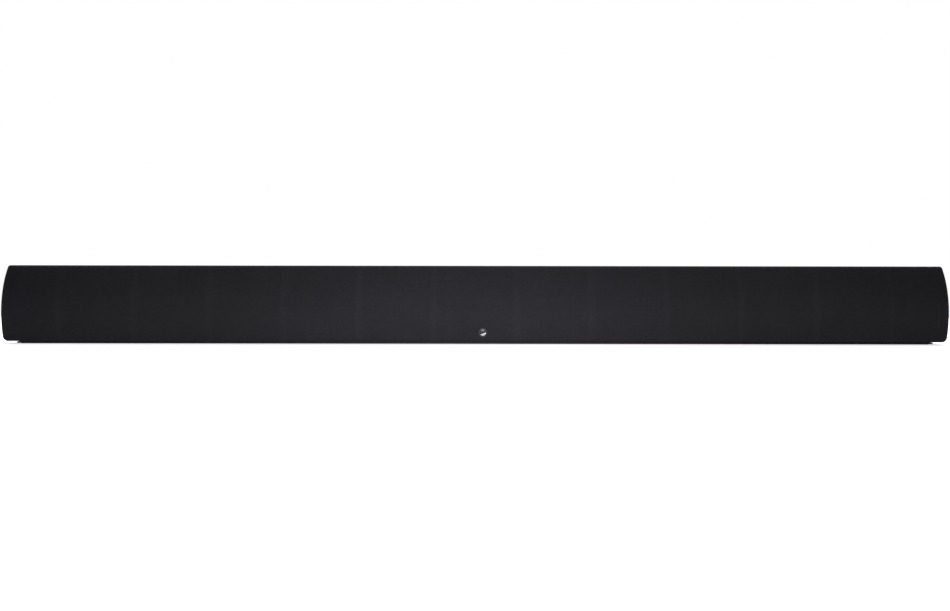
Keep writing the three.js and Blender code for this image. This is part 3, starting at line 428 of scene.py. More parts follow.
def moulding(name, colour, roughness, grain, unevenness=0.08, dust=0.01, specular=0.3):
    """Black moulded plastic with a fine grain and a little dust on top."""
    material, tree, spot = new_material(name)
    values = {"Position": spot, "Grain Size": grain, "Unevenness": unevenness}
    grained = use_group(tree, moulded_grain, values)
    dusty = use_group(tree, settled_dust, {"Position": spot, "Amount": dust})["Mask"]
    values = {"Color": (*colour[:3], 1), "Value": grained["Tone"]}
    toned = put(tree, "ShaderNodeHueSaturation", values).outputs[0]
    rough = calc(tree, "ADD", grained["Gloss Change"], roughness)
    return shade(
        material,
        Base_Color=mix(tree, dusty, toned, (0.16, 0.155, 0.15)),
        Roughness=calc(tree, "MULTIPLY_ADD", dusty, 0.5, rough, clamp=True),
        Specular_IOR_Level=specular,
        Normal=bump(tree, grained["Height"], grain * 0.12, 0.6),
    )


def soft_rubber(name, colour, roughness):
    material, tree, spot = new_material(name)
    values = {"Position": spot, "Grain Size": 0.3 * MM, "Unevenness": 0.2}
    grained = use_group(tree, moulded_grain, values)
    dusty = use_group(tree, settled_dust, {"Position": spot, "Amount": 0.15})["Mask"]
    return shade(
        material,
        Base_Color=mix(tree, dusty, colour, (0.12, 0.118, 0.115)),
        Roughness=calc(tree, "ADD", grained["Gloss Change"], roughness, clamp=True),
        Specular_IOR_Level=0.35,
        Normal=bump(tree, grained["Height"], 0.03 * MM, 0.5),
    )


def bare_metal(name, colour, roughness, stretch=(1, 1, 1), streak=0.15, tarnish=(0.3, 0.3, 0.3)):
    """Metal with fine streaks along one way and slight tarnish."""
    material, tree, spot = new_material(name)
    lines = noise(tree, mapped(tree, spot, Scale=stretch), 900.0, 3.0)
    dull = fade(tree, noise(tree, spot, 60.0, 5.0), 0.45, 0.8, 0.0, 0.35)
    rough = calc(tree, "MULTIPLY_ADD", dull, 0.3, roughness)
    return shade(
        material,
        Base_Color=mix(tree, dull, colour, tarnish),
        Metallic=1.0,
        Roughness=calc(tree, "MULTIPLY_ADD", lines, streak, rough),
        Normal=bump(tree, lines, 0.02 * MM, 0.3),
    )


def painted_fibreboard():
    material, tree, spot = new_material("painted_fibreboard")
    fibres = noise(tree, spot, 700.0, 6.0)
    roller = noise(tree, spot, 240.0, 2.0)
    return shade(
        material,
        Base_Color=mix(tree, fibres, (0.008, 0.008, 0.008), (0.019, 0.0185, 0.018)),
        Roughness=fade(tree, roller, 0.3, 0.7, 0.68, 0.85),
        Normal=bump(tree, calc(tree, "ADD", fibres, roller), 0.1 * MM, 0.7),
    )


def circuit_board():
    """Green solder mask over copper tracks."""
    material, tree, spot = new_material("circuit_board")
    upright = mapped(tree, spot, Rotation=(math.pi / 2, 0, 0))
    rows = {"Vector": upright, "Scale": 90.0, "Mortar Size": 0.03, "Mortar Smooth": 0.2, "Row Height": 0.18}
    tracks = put(tree, "ShaderNodeTexBrick", rows).outputs["Fac"]
    pad = fade(tree, cells(tree, spot, 210.0), 0.2, 0.14)
    green = mix(tree, tracks, (0.006, 0.045, 0.016), (0.012, 0.085, 0.03))
    return shade(
        material,
        Base_Color=mix(tree, pad, green, (0.55, 0.55, 0.52)),
        Metallic=pad,
        Roughness=fade(tree, tracks, 0.0, 1.0, 0.38, 0.3),
        Normal=bump(tree, calc(tree, "ADD", tracks, pad), 0.05 * MM, 0.6),
    )


def pulp_cone():
    """Coated paper pulp, with fibres that lie every way."""
    material, tree, spot = new_material("pulp_cone")
    fibres = noise(tree, spot, 900.0, 5.0, Distortion=2.5)
    clouds = calc(tree, "MULTIPLY", noise(tree, spot, 120.0, 3.0), 0.3)
    tone = calc(tree, "MULTIPLY_ADD", fibres, 0.7, clouds)
    return shade(
        material,
        Base_Color=mix(tree, fade(tree, tone, 0.35, 0.65), (0.016, 0.016, 0.0165), (0.034, 0.034, 0.035)),
        Roughness=fade(tree, tone, 0.3, 0.7, 0.85, 0.62),
        Specular_IOR_Level=0.4,
        Normal=bump(tree, fibres, 0.12 * MM, 0.8),
    )


def coated_silk():
    material, tree, spot = new_material("coated_silk")
    weave = calc(tree, "MULTIPLY", *(waves(tree, spot, 900.0, 0.4, way) for way in "XZ"))
    return shade(
        material,
        Base_Color=mix(tree, weave, (0.010, 0.010, 0.012), (0.03, 0.03, 0.034)),
        Roughness=fade(tree, weave, 0.0, 1.0, 0.62, 0.42),
        Sheen_Weight=0.2,
        Normal=bump(tree, weave, 0.03 * MM, 0.5),
    )


def varnished_cloth():
    material, tree, spot = new_material("varnished_cloth")
    yarn = use_group(tree, woven_yarn, {"Surface": spot, "Pitch": 0.9 * MM, "Yarn Spread": 0.3})
    return shade(
        material,
        # the yarn tone carries painted shade in the crevices between yarns
        Base_Color=mix(tree, yarn["Tone"], (0.25, 0.13, 0.03), (0.5, 0.33, 0.1)),
        Roughness=fade(tree, yarn["Height"], 0.0, 1.0, 0.75, 0.5),
        Normal=bump(tree, yarn["Height"], 0.15 * MM, 0.7),
    )


def sintered_ferrite():
    material, tree, spot = new_material("sintered_ferrite")
    cast = noise(tree, spot, 150.0, 5.0)
    return shade(
        material,
        Base_Color=mix(tree, cast, (0.02, 0.02, 0.022), (0.06, 0.06, 0.064)),
        Metallic=0.2,
        Roughness=fade(tree, cast, 0.3, 0.7, 0.75, 0.5),
        Normal=bump(tree, cells(tree, spot, 900.0), 0.06 * MM, 0.6),
    )


def laminated_core():
    material, tree, spot = new_material("laminated_core")
    sheets = waves(tree, spot, 320.0, 0.2, "Y")
    return shade(
        material,
        Base_Color=mix(tree, sheets, (0.04, 0.042, 0.045), (0.17, 0.17, 0.175)),
        Metallic=0.6,
        Roughness=fade(tree, sheets, 0.0, 1.0, 0.6, 0.4),
        Normal=bump(tree, sheets, 0.1 * MM, 0.6),
    )


def sensor_window():
    material, tree, spot = new_material("sensor_window")
    haze = noise(tree, spot, 300.0, 3.0)
    return shade(
        material,
        Base_Color=mix(tree, haze, (0.014, 0.001, 0.002), (0.03, 0.002, 0.004)),
        Roughness=fade(tree, haze, 0.2, 0.8, 0.08, 0.2),
        Coat_Weight=0.4,
    )


def printed_mark():
    """Pale ink, a little thin in places."""
    material, tree, spot = new_material("printed_mark")
    thin = noise(tree, spot, 2200.0, 3.0)
    return shade(
        material,
        Base_Color=mix(tree, fade(tree, thin, 0.3, 0.6), (0.3, 0.3, 0.3), (0.62, 0.62, 0.61)),
        Roughness=fade(tree, thin, 0.2, 0.8, 0.5, 0.65),
    )


FINISHES = {}


def make_finishes(scene):
    black = scene.soundbar_trim.moulding
    FINISHES.update(
        cloth=speaker_cloth(scene.soundbar_cloth),
        cabinet=moulding("cabinet_moulding", black, 0.6, 0.55 * MM, 0.04, specular=0.2),
        inner=moulding("inner_moulding", black, 0.5, 0.4 * MM),
        bezel=moulding("bezel_moulding", black, 0.42, 0.3 * MM, 0.05, specular=0.2),
        button=moulding("button_moulding", (0.014, 0.014, 0.015), 0.48, 0.25 * MM, specular=0.25),
        port=moulding("port_moulding", black, 0.45, 0.45 * MM, dust=0.02),
        connector=moulding("connector_moulding", (0.01, 0.01, 0.01), 0.4, 0.2 * MM, specular=0.5),
        coated_steel=moulding("coated_steel", (0.005, 0.005, 0.005), 0.75, 0.35 * MM, specular=0.12),
        component=moulding("component_case", (0.02, 0.02, 0.021), 0.45, 0.2 * MM, dust=0.02, specular=0.5),
        badge_rim=moulding("badge_rim", (0.01, 0.01, 0.011), 0.5, 0.3 * MM, specular=0.25),
        rubber=soft_rubber("foot_rubber", (0.009, 0.009, 0.009), 0.85),
        surround=soft_rubber("surround_rubber", (0.0085, 0.0085, 0.009), 0.48),
        lead=soft_rubber("lead_sheath", (0.01, 0.01, 0.01), 0.6),
        zinc=bare_metal("zinc_plate", (0.26, 0.265, 0.275), 0.42, (1, 1, 6), tarnish=(0.16, 0.16, 0.17)),
        chrome=bare_metal("badge_chrome", (0.78, 0.78, 0.8), 0.12, streak=0.05, tarnish=(0.5, 0.5, 0.52)),
        nickel=bare_metal(
            "badge_black_nickel", (0.03, 0.03, 0.034), 0.3, streak=0.08, tarnish=(0.03, 0.03, 0.03)
        ),
        screw=bare_metal("black_screw_steel", (0.035, 0.035, 0.037), 0.34, tarnish=(0.06, 0.055, 0.05)),
        aluminium=bare_metal("extruded_aluminium", (0.56, 0.57, 0.58), 0.34, (1, 1, 0.05), 0.25),
        contact=bare_metal("plated_contact", (0.72, 0.53, 0.22), 0.25, tarnish=(0.45, 0.32, 0.15)),
        board=painted_fibreboard(),
        circuit=circuit_board(),
        cone=pulp_cone(),
        silk=coated_silk(),
        spider=varnished_cloth(),
        ferrite=sintered_ferrite(),
        core=laminated_core(),
        sensor=sensor_window(),
        ink=printed_mark(),
    )


def finish_of(name):
    """A finish by its name. The first call makes them all."""
    if not FINISHES:
        make_finishes(bpy.context.scene)
    return FINISHES[name]


# ---- mesh tools

WELD_GAP = 0.02 * MM
FLAT_WITHIN = math.radians(0.5)
SHARP = 28
BROAD = 1.2 * MM


def add_piece(name, bm, finish, node, stands_for=True, smooth=32):
    """Makes a bmesh a piece that rides with a CAD node's body, and that usually stands for the node."""
    mesh = bpy.data.meshes.new(name)
    bm.to_mesh(mesh)
    bm.free()
    piece = bpy.data.objects.new(name, mesh)
    bpy.context.scene.collection.objects.link(piece)
    mesh.materials.append(finish_of(finish))
    mesh.shade_smooth()
    mesh.set_sharp_from_angle(angle=math.radians(smooth))
    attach(piece, BODY_OF[node])
    if stands_for:
        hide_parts(node)
    return piece


def dress(node, finish):
    """Gives a CAD node that stays as it is a better material."""
    slots = NODES[node].data.materials
    slots.clear()
    slots.append(finish_of(finish))


def clean(bm):
    """Welds seams and poles, and turns the faces of a closed shape outwards."""
    bmesh.ops.remove_doubles(bm, verts=bm.verts, dist=0.001 * MM)
    bmesh.ops.recalc_face_normals(bm, faces=bm.faces)


def place(bm, offset, verts=None, turn=None):
    """Turns vertices about the origin, then moves them."""
    verts = verts or bm.verts
    if turn is not None:
        bmesh.ops.rotate(bm, verts=verts, cent=ORIGIN, matrix=turn)
    bmesh.ops.translate(bm, verts=verts, vec=offset)


def arc(centre, radius, start, end, steps):
    """Points of an arc in (radius, depth), from one angle in degrees to another."""
    angles = [math.radians(start + (end - start) * step / steps) for step in range(steps + 1)]
    return [
        (centre[0] + radius * math.cos(angle), centre[1] + radius * math.sin(angle)) for angle in angles
    ]


def turned(bm, outline, steps=72, closed=True):
    """Spins an outline of (radius, depth) in millimetres about the Y axis."""
    verts = [bm.verts.new((radius * MM, depth * MM, 0)) for radius, depth in outline]
    rim = list(zip(verts, verts[1:]))
    if closed:
        rim.append((verts[-1], verts[0]))
    geom = verts + [bm.edges.new(pair) for pair in rim]
    bmesh.ops.spin(
        bm, geom=geom, cent=ORIGIN, axis=BACKWARD, angle=math.tau, steps=steps, use_merge=True
    )


def turned_piece(name, outline, finish, node, centre, steps=72, closed=True, turn=None, **options):
    """A round piece about an axis through centre."""
    bm = bmesh.new()
    turned(bm, outline, steps, closed)
    clean(bm)
    place(bm, centre, turn=turn)
    return add_piece(name, bm, finish, node, **options)


def swept(bm, corners, axis, sweep, steps, start):
    """Sweeps a face part of the way around an axis. start and sweep are in degrees."""
    before = set(bm.verts)
    verts = [bm.verts.new(corner) for corner in corners]
    side = bm.faces.new(verts)
    geom = [side, *side.edges, *verts]
    bmesh.ops.spin(bm, geom=geom, cent=ORIGIN, axis=axis, angle=math.radians(sweep), steps=steps)
    made = [vert for vert in bm.verts if vert not in before]
    turn = Matrix.Rotation(math.radians(start), 3, axis)
    bmesh.ops.rotate(bm, verts=made, cent=ORIGIN, matrix=turn)


def round_off(bm, geom, radius, segments=2, affect="EDGES", clamp=True):
    bmesh.ops.bevel(
        bm,
        geom=geom,
        offset=radius,
        segments=segments,
        profile=0.5,
        affect=affect,
        clamp_overlap=clamp,
        material=-1,
    )


def block(bm, low, high, radius=0.0):
    """A box between two corners, with rounded edges."""
    made = bmesh.ops.create_cube(bm, size=1.0)["verts"]
    low, high = Vector(low), Vector(high)
    bmesh.ops.scale(bm, vec=high - low, verts=made)
    bmesh.ops.translate(bm, vec=(low + high) / 2, verts=made)
    if radius:
        round_off(bm, list({edge for vert in made for edge in vert.link_edges}), radius, clamp=False)


def block_about(bm, centre, low, high, radius=0.0):
    """A box whose corners are given in millimetres from a centre."""
    block(bm, centre + Vector(low) * MM, centre + Vector(high) * MM, radius)


def welded_copy(node):
    """A copy of a CAD node with its triangles welded and its flat faces whole."""
    bm = bmesh.new()
    bm.from_mesh(NODES[node].data)
    bmesh.ops.remove_doubles(bm, verts=bm.verts, dist=WELD_GAP)
    bmesh.ops.dissolve_limit(bm, angle_limit=FLAT_WITHIN, verts=bm.verts, edges=bm.edges)
    return bm


def sharp_edges(bm, degrees):
    """Edges that turn by more than an angle in degrees."""
    sharp = math.radians(degrees)
    return [edge for edge in bm.edges if edge.is_manifold and edge.calc_face_angle() > sharp]


def softened(node, kind, finish, radius, segments=2):
    """A piece that stands for a CAD node, with its sharp edges rounded.

    Faces whose area is large for their perimeter are shaded flat.
    """
    bm = welded_copy(node)
    round_off(bm, sharp_edges(bm, SHARP), radius, segments)
    bm.faces.index_update()
    broad = [face.index for face in bm.faces if face.calc_area() > BROAD * face.calc_perimeter()]
    piece = add_piece(f"{node}_{kind}", bm, finish, node)
    for index in broad:
        piece.data.polygons[index].use_smooth = False


def add_screw(bm, centre, outward, radius=1.9 * MM, height=1.0 * MM):
    """A round-edged screw head with a six-sided socket."""
    before = set(bm.verts)
    disc = bmesh.ops.create_circle(bm, cap_ends=True, segments=24, radius=radius)["verts"]
    lifted = bmesh.ops.extrude_face_region(bm, geom=[disc[0].link_faces[0]])["geom"]
    top = next(item for item in lifted if isinstance(item, bmesh.types.BMFace))
    bmesh.ops.translate(bm, vec=UPWARD * height, verts=list(top.verts))
    round_off(bm, list(top.edges), height * 0.45, 3, clamp=False)
    faces = {face for vert in bm.verts if vert not in before for face in vert.link_faces}
    top = max(faces, key=lambda item: item.calc_center_median().z)
    bmesh.ops.inset_region(bm, faces=[top], thickness=radius * 0.22)
    for vert in top.verts:
        angle = math.atan2(vert.co.y, vert.co.x) % (math.pi / 3) - math.pi / 6
        flat = Vector((vert.co.x, vert.co.y)).normalized() * radius * 0.42 / math.cos(angle)
        vert.co.x, vert.co.y = flat
    socket = bmesh.ops.extrude_face_region(bm, geom=[top])["geom"]
    bmesh.ops.delete(bm, geom=[top], context="FACES")
    floor = [item for item in socket if isinstance(item, bmesh.types.BMVert)]
    bmesh.ops.translate(bm, vec=DOWNWARD * height * 0.7, verts=floor)
    mine = [vert for vert in bm.verts if vert not in before]
    place(bm, centre, mine, UPWARD.rotation_difference(outward).to_matrix())


def screws(name, places, outward, node, **sizes):
    bm = bmesh.new()
    for centre in places:
        add_screw(bm, centre, outward, **sizes)
    clean(bm)
    add_piece(name, bm, "screw", node, stands_for=False)


def driver_screws(driver, node, centre, radius, count, start):
    """Small screws on a circle around a driver. start is in degrees."""
    angles = [math.radians(start) + math.tau * step / count for step in range(count)]
    middle = centre + FRONTWARD * 2.3 * MM
    places = [middle + Vector((math.cos(angle), 0, math.sin(angle))) * radius * MM for angle in angles]
    screws(driver + "_screws", places, FRONTWARD, node, radius=1.5 * MM, height=0.7 * MM)


# ---- stage


class SOUNDBAR_OT_stage(bpy.types.Operator):
    """Make the camera, the floor, the white room and the lamps"""

    bl_idname = "soundbar.stage"
    bl_label = "Stage"

    HALF_FLOOR = 3.2
    FRONT_LAMPS = Vector((0, -1.25, 0.06))
    AIM_HEIGHT = -80 * MM
    SOFTBOX = Vector((0, 2.4, 2.3))
    SOFTBOX_AIM = Vector((0, -0.4, 0))

    def execute(self, context):
        self.add_camera(context.scene)
        self.add_floor(context.scene)
        self.add_lamps(context.scene)
        self.add_room(context.scene)
        return {"FINISHED"}

    def add_camera(self, scene):
        view = scene.soundbar_camera
        camera = bpy.data.objects.new("camera", bpy.data.cameras.new("camera"))
        camera.data.lens = view.lens
        camera.data.sensor_width = 36.0
        camera.data.clip_start = 0.01
        camera.data.clip_end = 60.0
        camera.location = (0, CAD_BOX[0][1] - view.distance, view.height)
        level = Matrix.Rotation(math.pi / 2, 4, "X")
        camera.rotation_euler = (level @ Matrix.Rotation(view.roll, 4, "Z")).to_euler()
        scene.collection.objects.link(camera)
        scene.camera = camera

    def add_floor(self, scene):
        """A translucent white table, lit a little from below."""
        bm = bmesh.new()
        bmesh.ops.create_grid(bm, x_segments=1, y_segments=1, size=self.HALF_FLOOR)
        bmesh.ops.translate(bm, vec=(0, 0, CAD_BOX[0][2] - 0.1 * MM), verts=bm.verts)
        mesh = bpy.data.meshes.new("floor")
        bm.to_mesh(mesh)
        bm.free()
        floor = bpy.data.objects.new("floor", mesh)
        scene.collection.objects.link(floor)
        material, tree, spot = new_material("pale_floor")
        shade(
            material,
            Base_Color=mix(tree, noise(tree, spot, 3.0, 2.0), (0.86, 0.86, 0.86), (0.88, 0.88, 0.88)),
            Roughness=0.9,
            Specular_IOR_Level=0.1,
            Emission_Color=(1.0, 1.0, 1.0, 1.0),
            Emission_Strength=scene.soundbar_light.underlight,
        )
        mesh.materials.append(material)

    def add_lamps(self, scene):
        """A wide and a narrow lamp in front, aimed low, and a softbox above and behind."""
        light = scene.soundbar_light
        target = Vector((0, CAD_BOX[0][1], self.AIM_HEIGHT))
        front = (
            ("key_lamp", light.key, light.key_angle, (1, 1, 1)),
            ("accent_lamp", light.accent, light.accent_angle, (0.94, 0.89, 1.0)),
        )
        for name, power, angle, colour in front:
            spot = bpy.data.lights.new(name, "SPOT")
            spot.energy = power
            spot.spot_size = angle
            spot.spot_blend = 1.0
            spot.shadow_soft_size = 0.1
            spot.color = colour
            self.aim(scene, spot, self.FRONT_LAMPS, target)
        softbox = bpy.data.lights.new("large_softbox", "AREA")
        softbox.energy = light.softbox
        softbox.shape = "RECTANGLE"
        softbox.size = 6.0
        softbox.size_y = 4.4
        softbox.color = (0.95, 0.975, 1.0)
        self.aim(scene, softbox, self.SOFTBOX, self.SOFTBOX_AIM)

    def aim(self, scene, light, origin, target):
        lamp = bpy.data.objects.new(light.name, light)
        lamp.location = origin
        lamp.rotation_euler = (target - origin).to_track_quat("-Z", "Y").to_euler()
        lamp.visible_camera = False
        scene.collection.objects.link(lamp)

    def add_room(self, scene):
        """Plain white to the camera, and a weaker white to everything else."""
        world = bpy.data.worlds.new("white_room")
        world.use_nodes = True
        tree = world.node_tree
        tree.nodes.clear()
        white = (1, 1, 1, 1)
        seen = put(tree, "ShaderNodeBackground", {"Color": white, "Strength": 1.0})
        strength = scene.soundbar_light.surroundings
        lit = put(tree, "ShaderNodeBackground", {"Color": white, "Strength": strength})
        direct = put(tree, "ShaderNodeLightPath").outputs["Is Camera Ray"]
        mixed = put(tree, "ShaderNodeMixShader", {0: direct, 1: lit.outputs[0], 2: seen.outputs[0]})
        put(tree, "ShaderNodeOutputWorld", {"Surface": mixed.outputs[0]})
        scene.world = world
        scene.view_settings.view_transform = "Standard"


# ---- grille


class SOUNDBAR_OT_cloth(bpy.types.Operator):
    """Stretch the cloth over its frame"""

    bl_idname = "soundbar.cloth"
    bl_label = "Grille cloth"

    ROWS = 36
    EDGE_ROWS = (0.04, 0.1, 0.18, 0.28, 0.4)
    HALF_RIB = 3 * MM
    SLOPE = 11 * MM
    LOWER_RAIL = 12 * MM
    UPPER_RAIL = 13 * MM

    def execute(self, context):
        self.settings = context.scene.soundbar_cloth
        self.bow = Bow(self.settings)
        self.low, self.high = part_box("grille_cloth")
        self.frame_low, self.frame_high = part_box("grille_frame")
        self.middle = (self.low.z + self.high.z) / 2
        bm = bmesh.new()
        self.lay_out(bm)
        for vert in bm.verts:
            vert.co.y = self.front_at(vert.co.x, vert.co.z)
        rim = [edge for edge in bm.edges if edge.is_boundary]
        folded = bmesh.ops.extrude_edge_only(bm, edges=rim)["geom"]
        for vert in (item for item in folded if isinstance(item, bmesh.types.BMVert)):
            vert.co.y = self.high.y
        bmesh.ops.recalc_face_normals(bm, faces=bm.faces)
        foremost = min(bm.faces, key=lambda face: face.calc_center_median().y)
        if foremost.normal.y > 0:
            bmesh.ops.reverse_faces(bm, faces=bm.faces)
        bmesh.ops.solidify(bm, geom=bm.faces[:], thickness=self.settings.thickness)
        self.follow_yarns(bm)
        cloth = add_piece("stretched_grille_cloth", bm, "cloth", "grille_cloth", smooth=50)
        return {"FINISHED"}

    def lay_out(self, bm):
        """Lays the front out flat, with round corners, close rows along its edge and a fine net inside."""
        low, size = self.low, self.high - self.low
        made = bmesh.ops.create_grid(bm, x_segments=1, y_segments=1, size=0.5)["verts"]
        bmesh.ops.rotate(bm, verts=made, cent=ORIGIN, matrix=Matrix.Rotation(math.pi / 2, 3, "X"))
        bmesh.ops.scale(bm, verts=made, vec=(size.x, 1, size.z))
        bmesh.ops.translate(bm, verts=made, vec=(low.x + size.x / 2, 0, self.middle))
        upper = [vert for vert in made if vert.co.z > self.middle]
        lower = [vert for vert in made if vert.co.z < self.middle]
        round_off(bm, upper, self.settings.upper_corner, 8, "VERTICES", clamp=False)
        round_off(bm, lower, self.settings.lower_corner, 8, "VERTICES", clamp=False)
        for share in self.EDGE_ROWS:
            inner = max(bm.faces, key=lambda face: face.calc_area())
            thickness = share * self.settings.roll
            bmesh.ops.inset_region(bm, faces=[inner], thickness=thickness, use_even_offset=True)
        columns = round(size.x / self.settings.mesh_step)
        for step in range(1, columns):
            self.slice_across(bm, (low.x + size.x * step / columns, 0, 0), (1, 0, 0))
        for step in range(1, self.ROWS):
            self.slice_across(bm, (0, 0, low.z + size.z * step / self.ROWS), (0, 0, 1))

    def slice_across(self, bm, point, normal):
        everything = bm.verts[:] + bm.edges[:] + bm.faces[:]
        bmesh.ops.bisect_plane(bm, geom=everything, dist=0.01 * MM, plane_co=point, plane_no=normal)

    def inside_edge(self, x, z):
        """Distance from the edge of the front's rounded outline."""
        radius = self.settings.upper_corner if z > self.middle else self.settings.lower_corner
        beyond_x = abs(x) - (self.high.x - radius)
        beyond_z = abs(z - self.middle) - ((self.high.z - self.low.z) / 2 - radius)
        outside = math.hypot(max(beyond_x, 0), max(beyond_z, 0)) + min(max(beyond_x, beyond_z), 0)
        return max(radius - outside, 0)

    def front_at(self, x, z):
        """The bowed front, rolled back at its edge and sunk a little between the ribs behind it."""
        roll = self.settings.roll
        short = max(roll - self.inside_edge(x, z), 0)
        rolled = roll - math.sqrt(max(roll**2 - short**2, 0))
        return self.bow.front(z) + rolled + self.sunk_by(x, z)

    def sunk_by(self, x, z):
        stops = [side * rib for rib in RIBS for side in (-1, 1)] + [self.frame_low.x, self.frame_high.x]
        beside = min(abs(x - stop) for stop in stops) - self.HALF_RIB
        within = min(z - self.frame_low.z - self.LOWER_RAIL, self.frame_high.z - self.UPPER_RAIL - z)
        share = min(max(min(beside, within) / self.SLOPE, 0), 1)
        return self.settings.sink * share**2 * (3 - 2 * share)

    def follow_yarns(self, bm):
        """Maps the cloth in metres, along the bar and around the section, so that the yarns follow it."""
        layer = bm.loops.layers.uv.new("cloth")
        for face in bm.faces:
            on_cheek = abs(face.normal.x) > 0.7
            on_fold = not on_cheek and abs(face.normal.z) > 0.85
            for loop in face.loops:
                x, y, z = loop.vert.co
                behind = y - self.bow.front(z)
                along = x + math.copysign(behind, x) if on_cheek else x
                around = self.bow.girth(z)
                if on_fold:
                    around += math.copysign(behind, z - self.middle)
                loop[layer].uv = (along, around)


class SOUNDBAR_OT_grille_frame(bpy.types.Operator):
    """Finish the moulded frame behind the cloth"""

    bl_idname = "soundbar.grille_frame"
    bl_label = "Grille frame"

    CLOSE = 0.05 * MM
    OUTER_EDGES = 40

    def execute(self, context):
        settings = context.scene.soundbar_cloth
        low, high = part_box("grille_frame")
        inset = low.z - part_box("grille_cloth")[0].z
        bm = welded_copy("grille_frame")
        for level, radius in ((low.z, settings.lower_corner), (high.z, settings.upper_corner)):
            corner = {vert for vert in bm.verts if self.lies_at(vert, high.x, level)}
            edges = [edge for edge in bm.edges if corner.issuperset(edge.verts)]
            round_off(bm, edges, radius - inset, 4)
        round_off(bm, sharp_edges(bm, self.OUTER_EDGES), 0.25 * MM, 1)
        add_piece("grille_frame_moulding", bm, "inner", "grille_frame")
        return {"FINISHED"}

    def lies_at(self, vert, end, level):
        """Whether a vertex lies on an end of the frame and at a height."""
        return abs(vert.co.z - level) < self.CLOSE and abs(vert.co.x) > end - self.CLOSE


class SOUNDBAR_OT_badge(bpy.types.Operator):
    """Make the badge: a dark stud with a bright lower segment, tilted with the front"""

    bl_idname = "soundbar.badge"
    bl_label = "Badge"

    def execute(self, context):
        bow = Bow(context.scene.soundbar_cloth)
        centre = centre_of("badge")
        origin = Vector((centre.x, bow.front(centre.z) - 0.15 * MM, centre.z))
        turn = Matrix.Rotation(-bow.tilt(centre.z), 3, "X")
        rim = (
            [(3.9, 0.0), (3.9, -0.6)]
            + arc((4.6, -0.55), 0.7, 180, 270, 5)
            + arc((5.2, -0.45), 0.65, 285, 360, 5)
            + [(5.85, 0.0)]
        )
        turned_piece("badge_rim", rim, "badge_rim", "badge", origin, turn=turn, stands_for=False)
        dome = [(0, -1.12), (1, -1.1), (2, -1.03), (3, -0.91), (3.6, -0.79), (4.0, -0.62), (4.0, 0), (0, 0)]
        turned_piece("badge_stud", dome, "nickel", "badge", origin, turn=turn, closed=False)
        self.add_segment(origin, turn)
        return {"FINISHED"}

    def add_segment(self, origin, turn):
        """The lower part of a disc, raised and with its edge rounded."""
        height = 0.65 * MM
        bm = bmesh.new()
        bmesh.ops.create_circle(bm, cap_ends=True, segments=48, radius=3.7 * MM)
        everything = bm.verts[:] + bm.edges[:] + bm.faces[:]
        bmesh.ops.bisect_plane(
            bm, geom=everything, plane_co=(0, -1.1 * MM, 0), plane_no=(-0.3, 1, 0), clear_outer=True
        )
        lifted = bmesh.ops.extrude_face_region(bm, geom=bm.faces[:])["geom"]
        raised = [item for item in lifted if isinstance(item, bmesh.types.BMVert)]
        bmesh.ops.translate(bm, verts=raised, vec=UPWARD * height)
        bmesh.ops.recalc_face_normals(bm, faces=bm.faces)
        top = [edge for edge in bm.edges if all(vert.co.z > height * 0.9 for vert in edge.verts)]
        round_off(bm, [edge for edge in top if edge.calc_face_angle(0) > 1], 0.1 * MM)
        place(bm, FRONTWARD * 0.75 * MM, turn=UPWARD.rotation_difference(FRONTWARD).to_matrix())
        place(bm, origin, turn=turn)
        add_piece("badge_crescent", bm, "chrome", "badge", stands_for=False)


# ---- cabinet


class SOUNDBAR_OT_shell(bpy.types.Operator):
    """Soften the cabinet's shell and its two end caps"""

    bl_idname = "soundbar.shell"
    bl_label = "Shell and end caps"

    def execute(self, context):
        for node in ("cabinet_shell", "left_end_cap", "right_end_cap"):
            softened(node, "moulding", "cabinet", context.scene.soundbar_trim.edge)
        return {"FINISHED"}


class SOUNDBAR_OT_baffle(bpy.types.Operator):
    """Finish the baffle and the two bulkheads behind it"""

    bl_idname = "soundbar.baffle"
    bl_label = "Baffle and bulkheads"

    def execute(self, context):
        softened("front_baffle", "board", "board", context.scene.soundbar_trim.edge)
        for side in SIDES:
            dress(f"{side}_bulkhead", "board")
        return {"FINISHED"}


class SOUNDBAR_OT_base_plate(bpy.types.Operator):
    """Soften the coated steel base plate"""

    bl_idname = "soundbar.base_plate"
    bl_label = "Base plate"

    def execute(self, context):
        softened("base_plate", "steel", "coated_steel", context.scene.soundbar_trim.fine_edge)
        return {"FINISHED"}


class SOUNDBAR_OT_foot_strips(bpy.types.Operator):
    """Make the two rubber foot strips, each with three long ribs on its underside"""

    bl_idname = "soundbar.foot_strips"
    bl_label = "Foot strips"

    LONG_RIBS = 3
    RIB_END = 1 * MM
    HALF_WIDTH = 0.8 * MM
    RIB_RISE = 0.6 * MM
    LIFT = 0.25 * MM

    def execute(self, context):
        for node in ("front_foot_strip", "rear_foot_strip"):
            low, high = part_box(node)
            bm = bmesh.new()
            block(bm, (low.x, low.y, low.z + self.LIFT), high, 0.2 * MM)
            for step in range(self.LONG_RIBS):
                middle = low.y + (high.y - low.y) * (step + 0.5) / self.LONG_RIBS
                start = (low.x + self.RIB_END, middle - self.HALF_WIDTH, low.z)
                stop = (high.x - self.RIB_END, middle + self.HALF_WIDTH, low.z + self.RIB_RISE)
                block(bm, start, stop, 0.25 * MM)
            add_piece(node + "_rubber", bm, "rubber", node)
        return {"FINISHED"}


class SOUNDBAR_OT_wall_mounts(bpy.types.Operator):
    """Soften the two zinc keyhole plates"""

    bl_idname = "soundbar.wall_mounts"
    bl_label = "Wall mounts"

    def execute(self, context):
        for side in SIDES:
            softened(f"{side}_wall_mount", "plate", "zinc", context.scene.soundbar_trim.fine_edge)
        return {"FINISHED"}


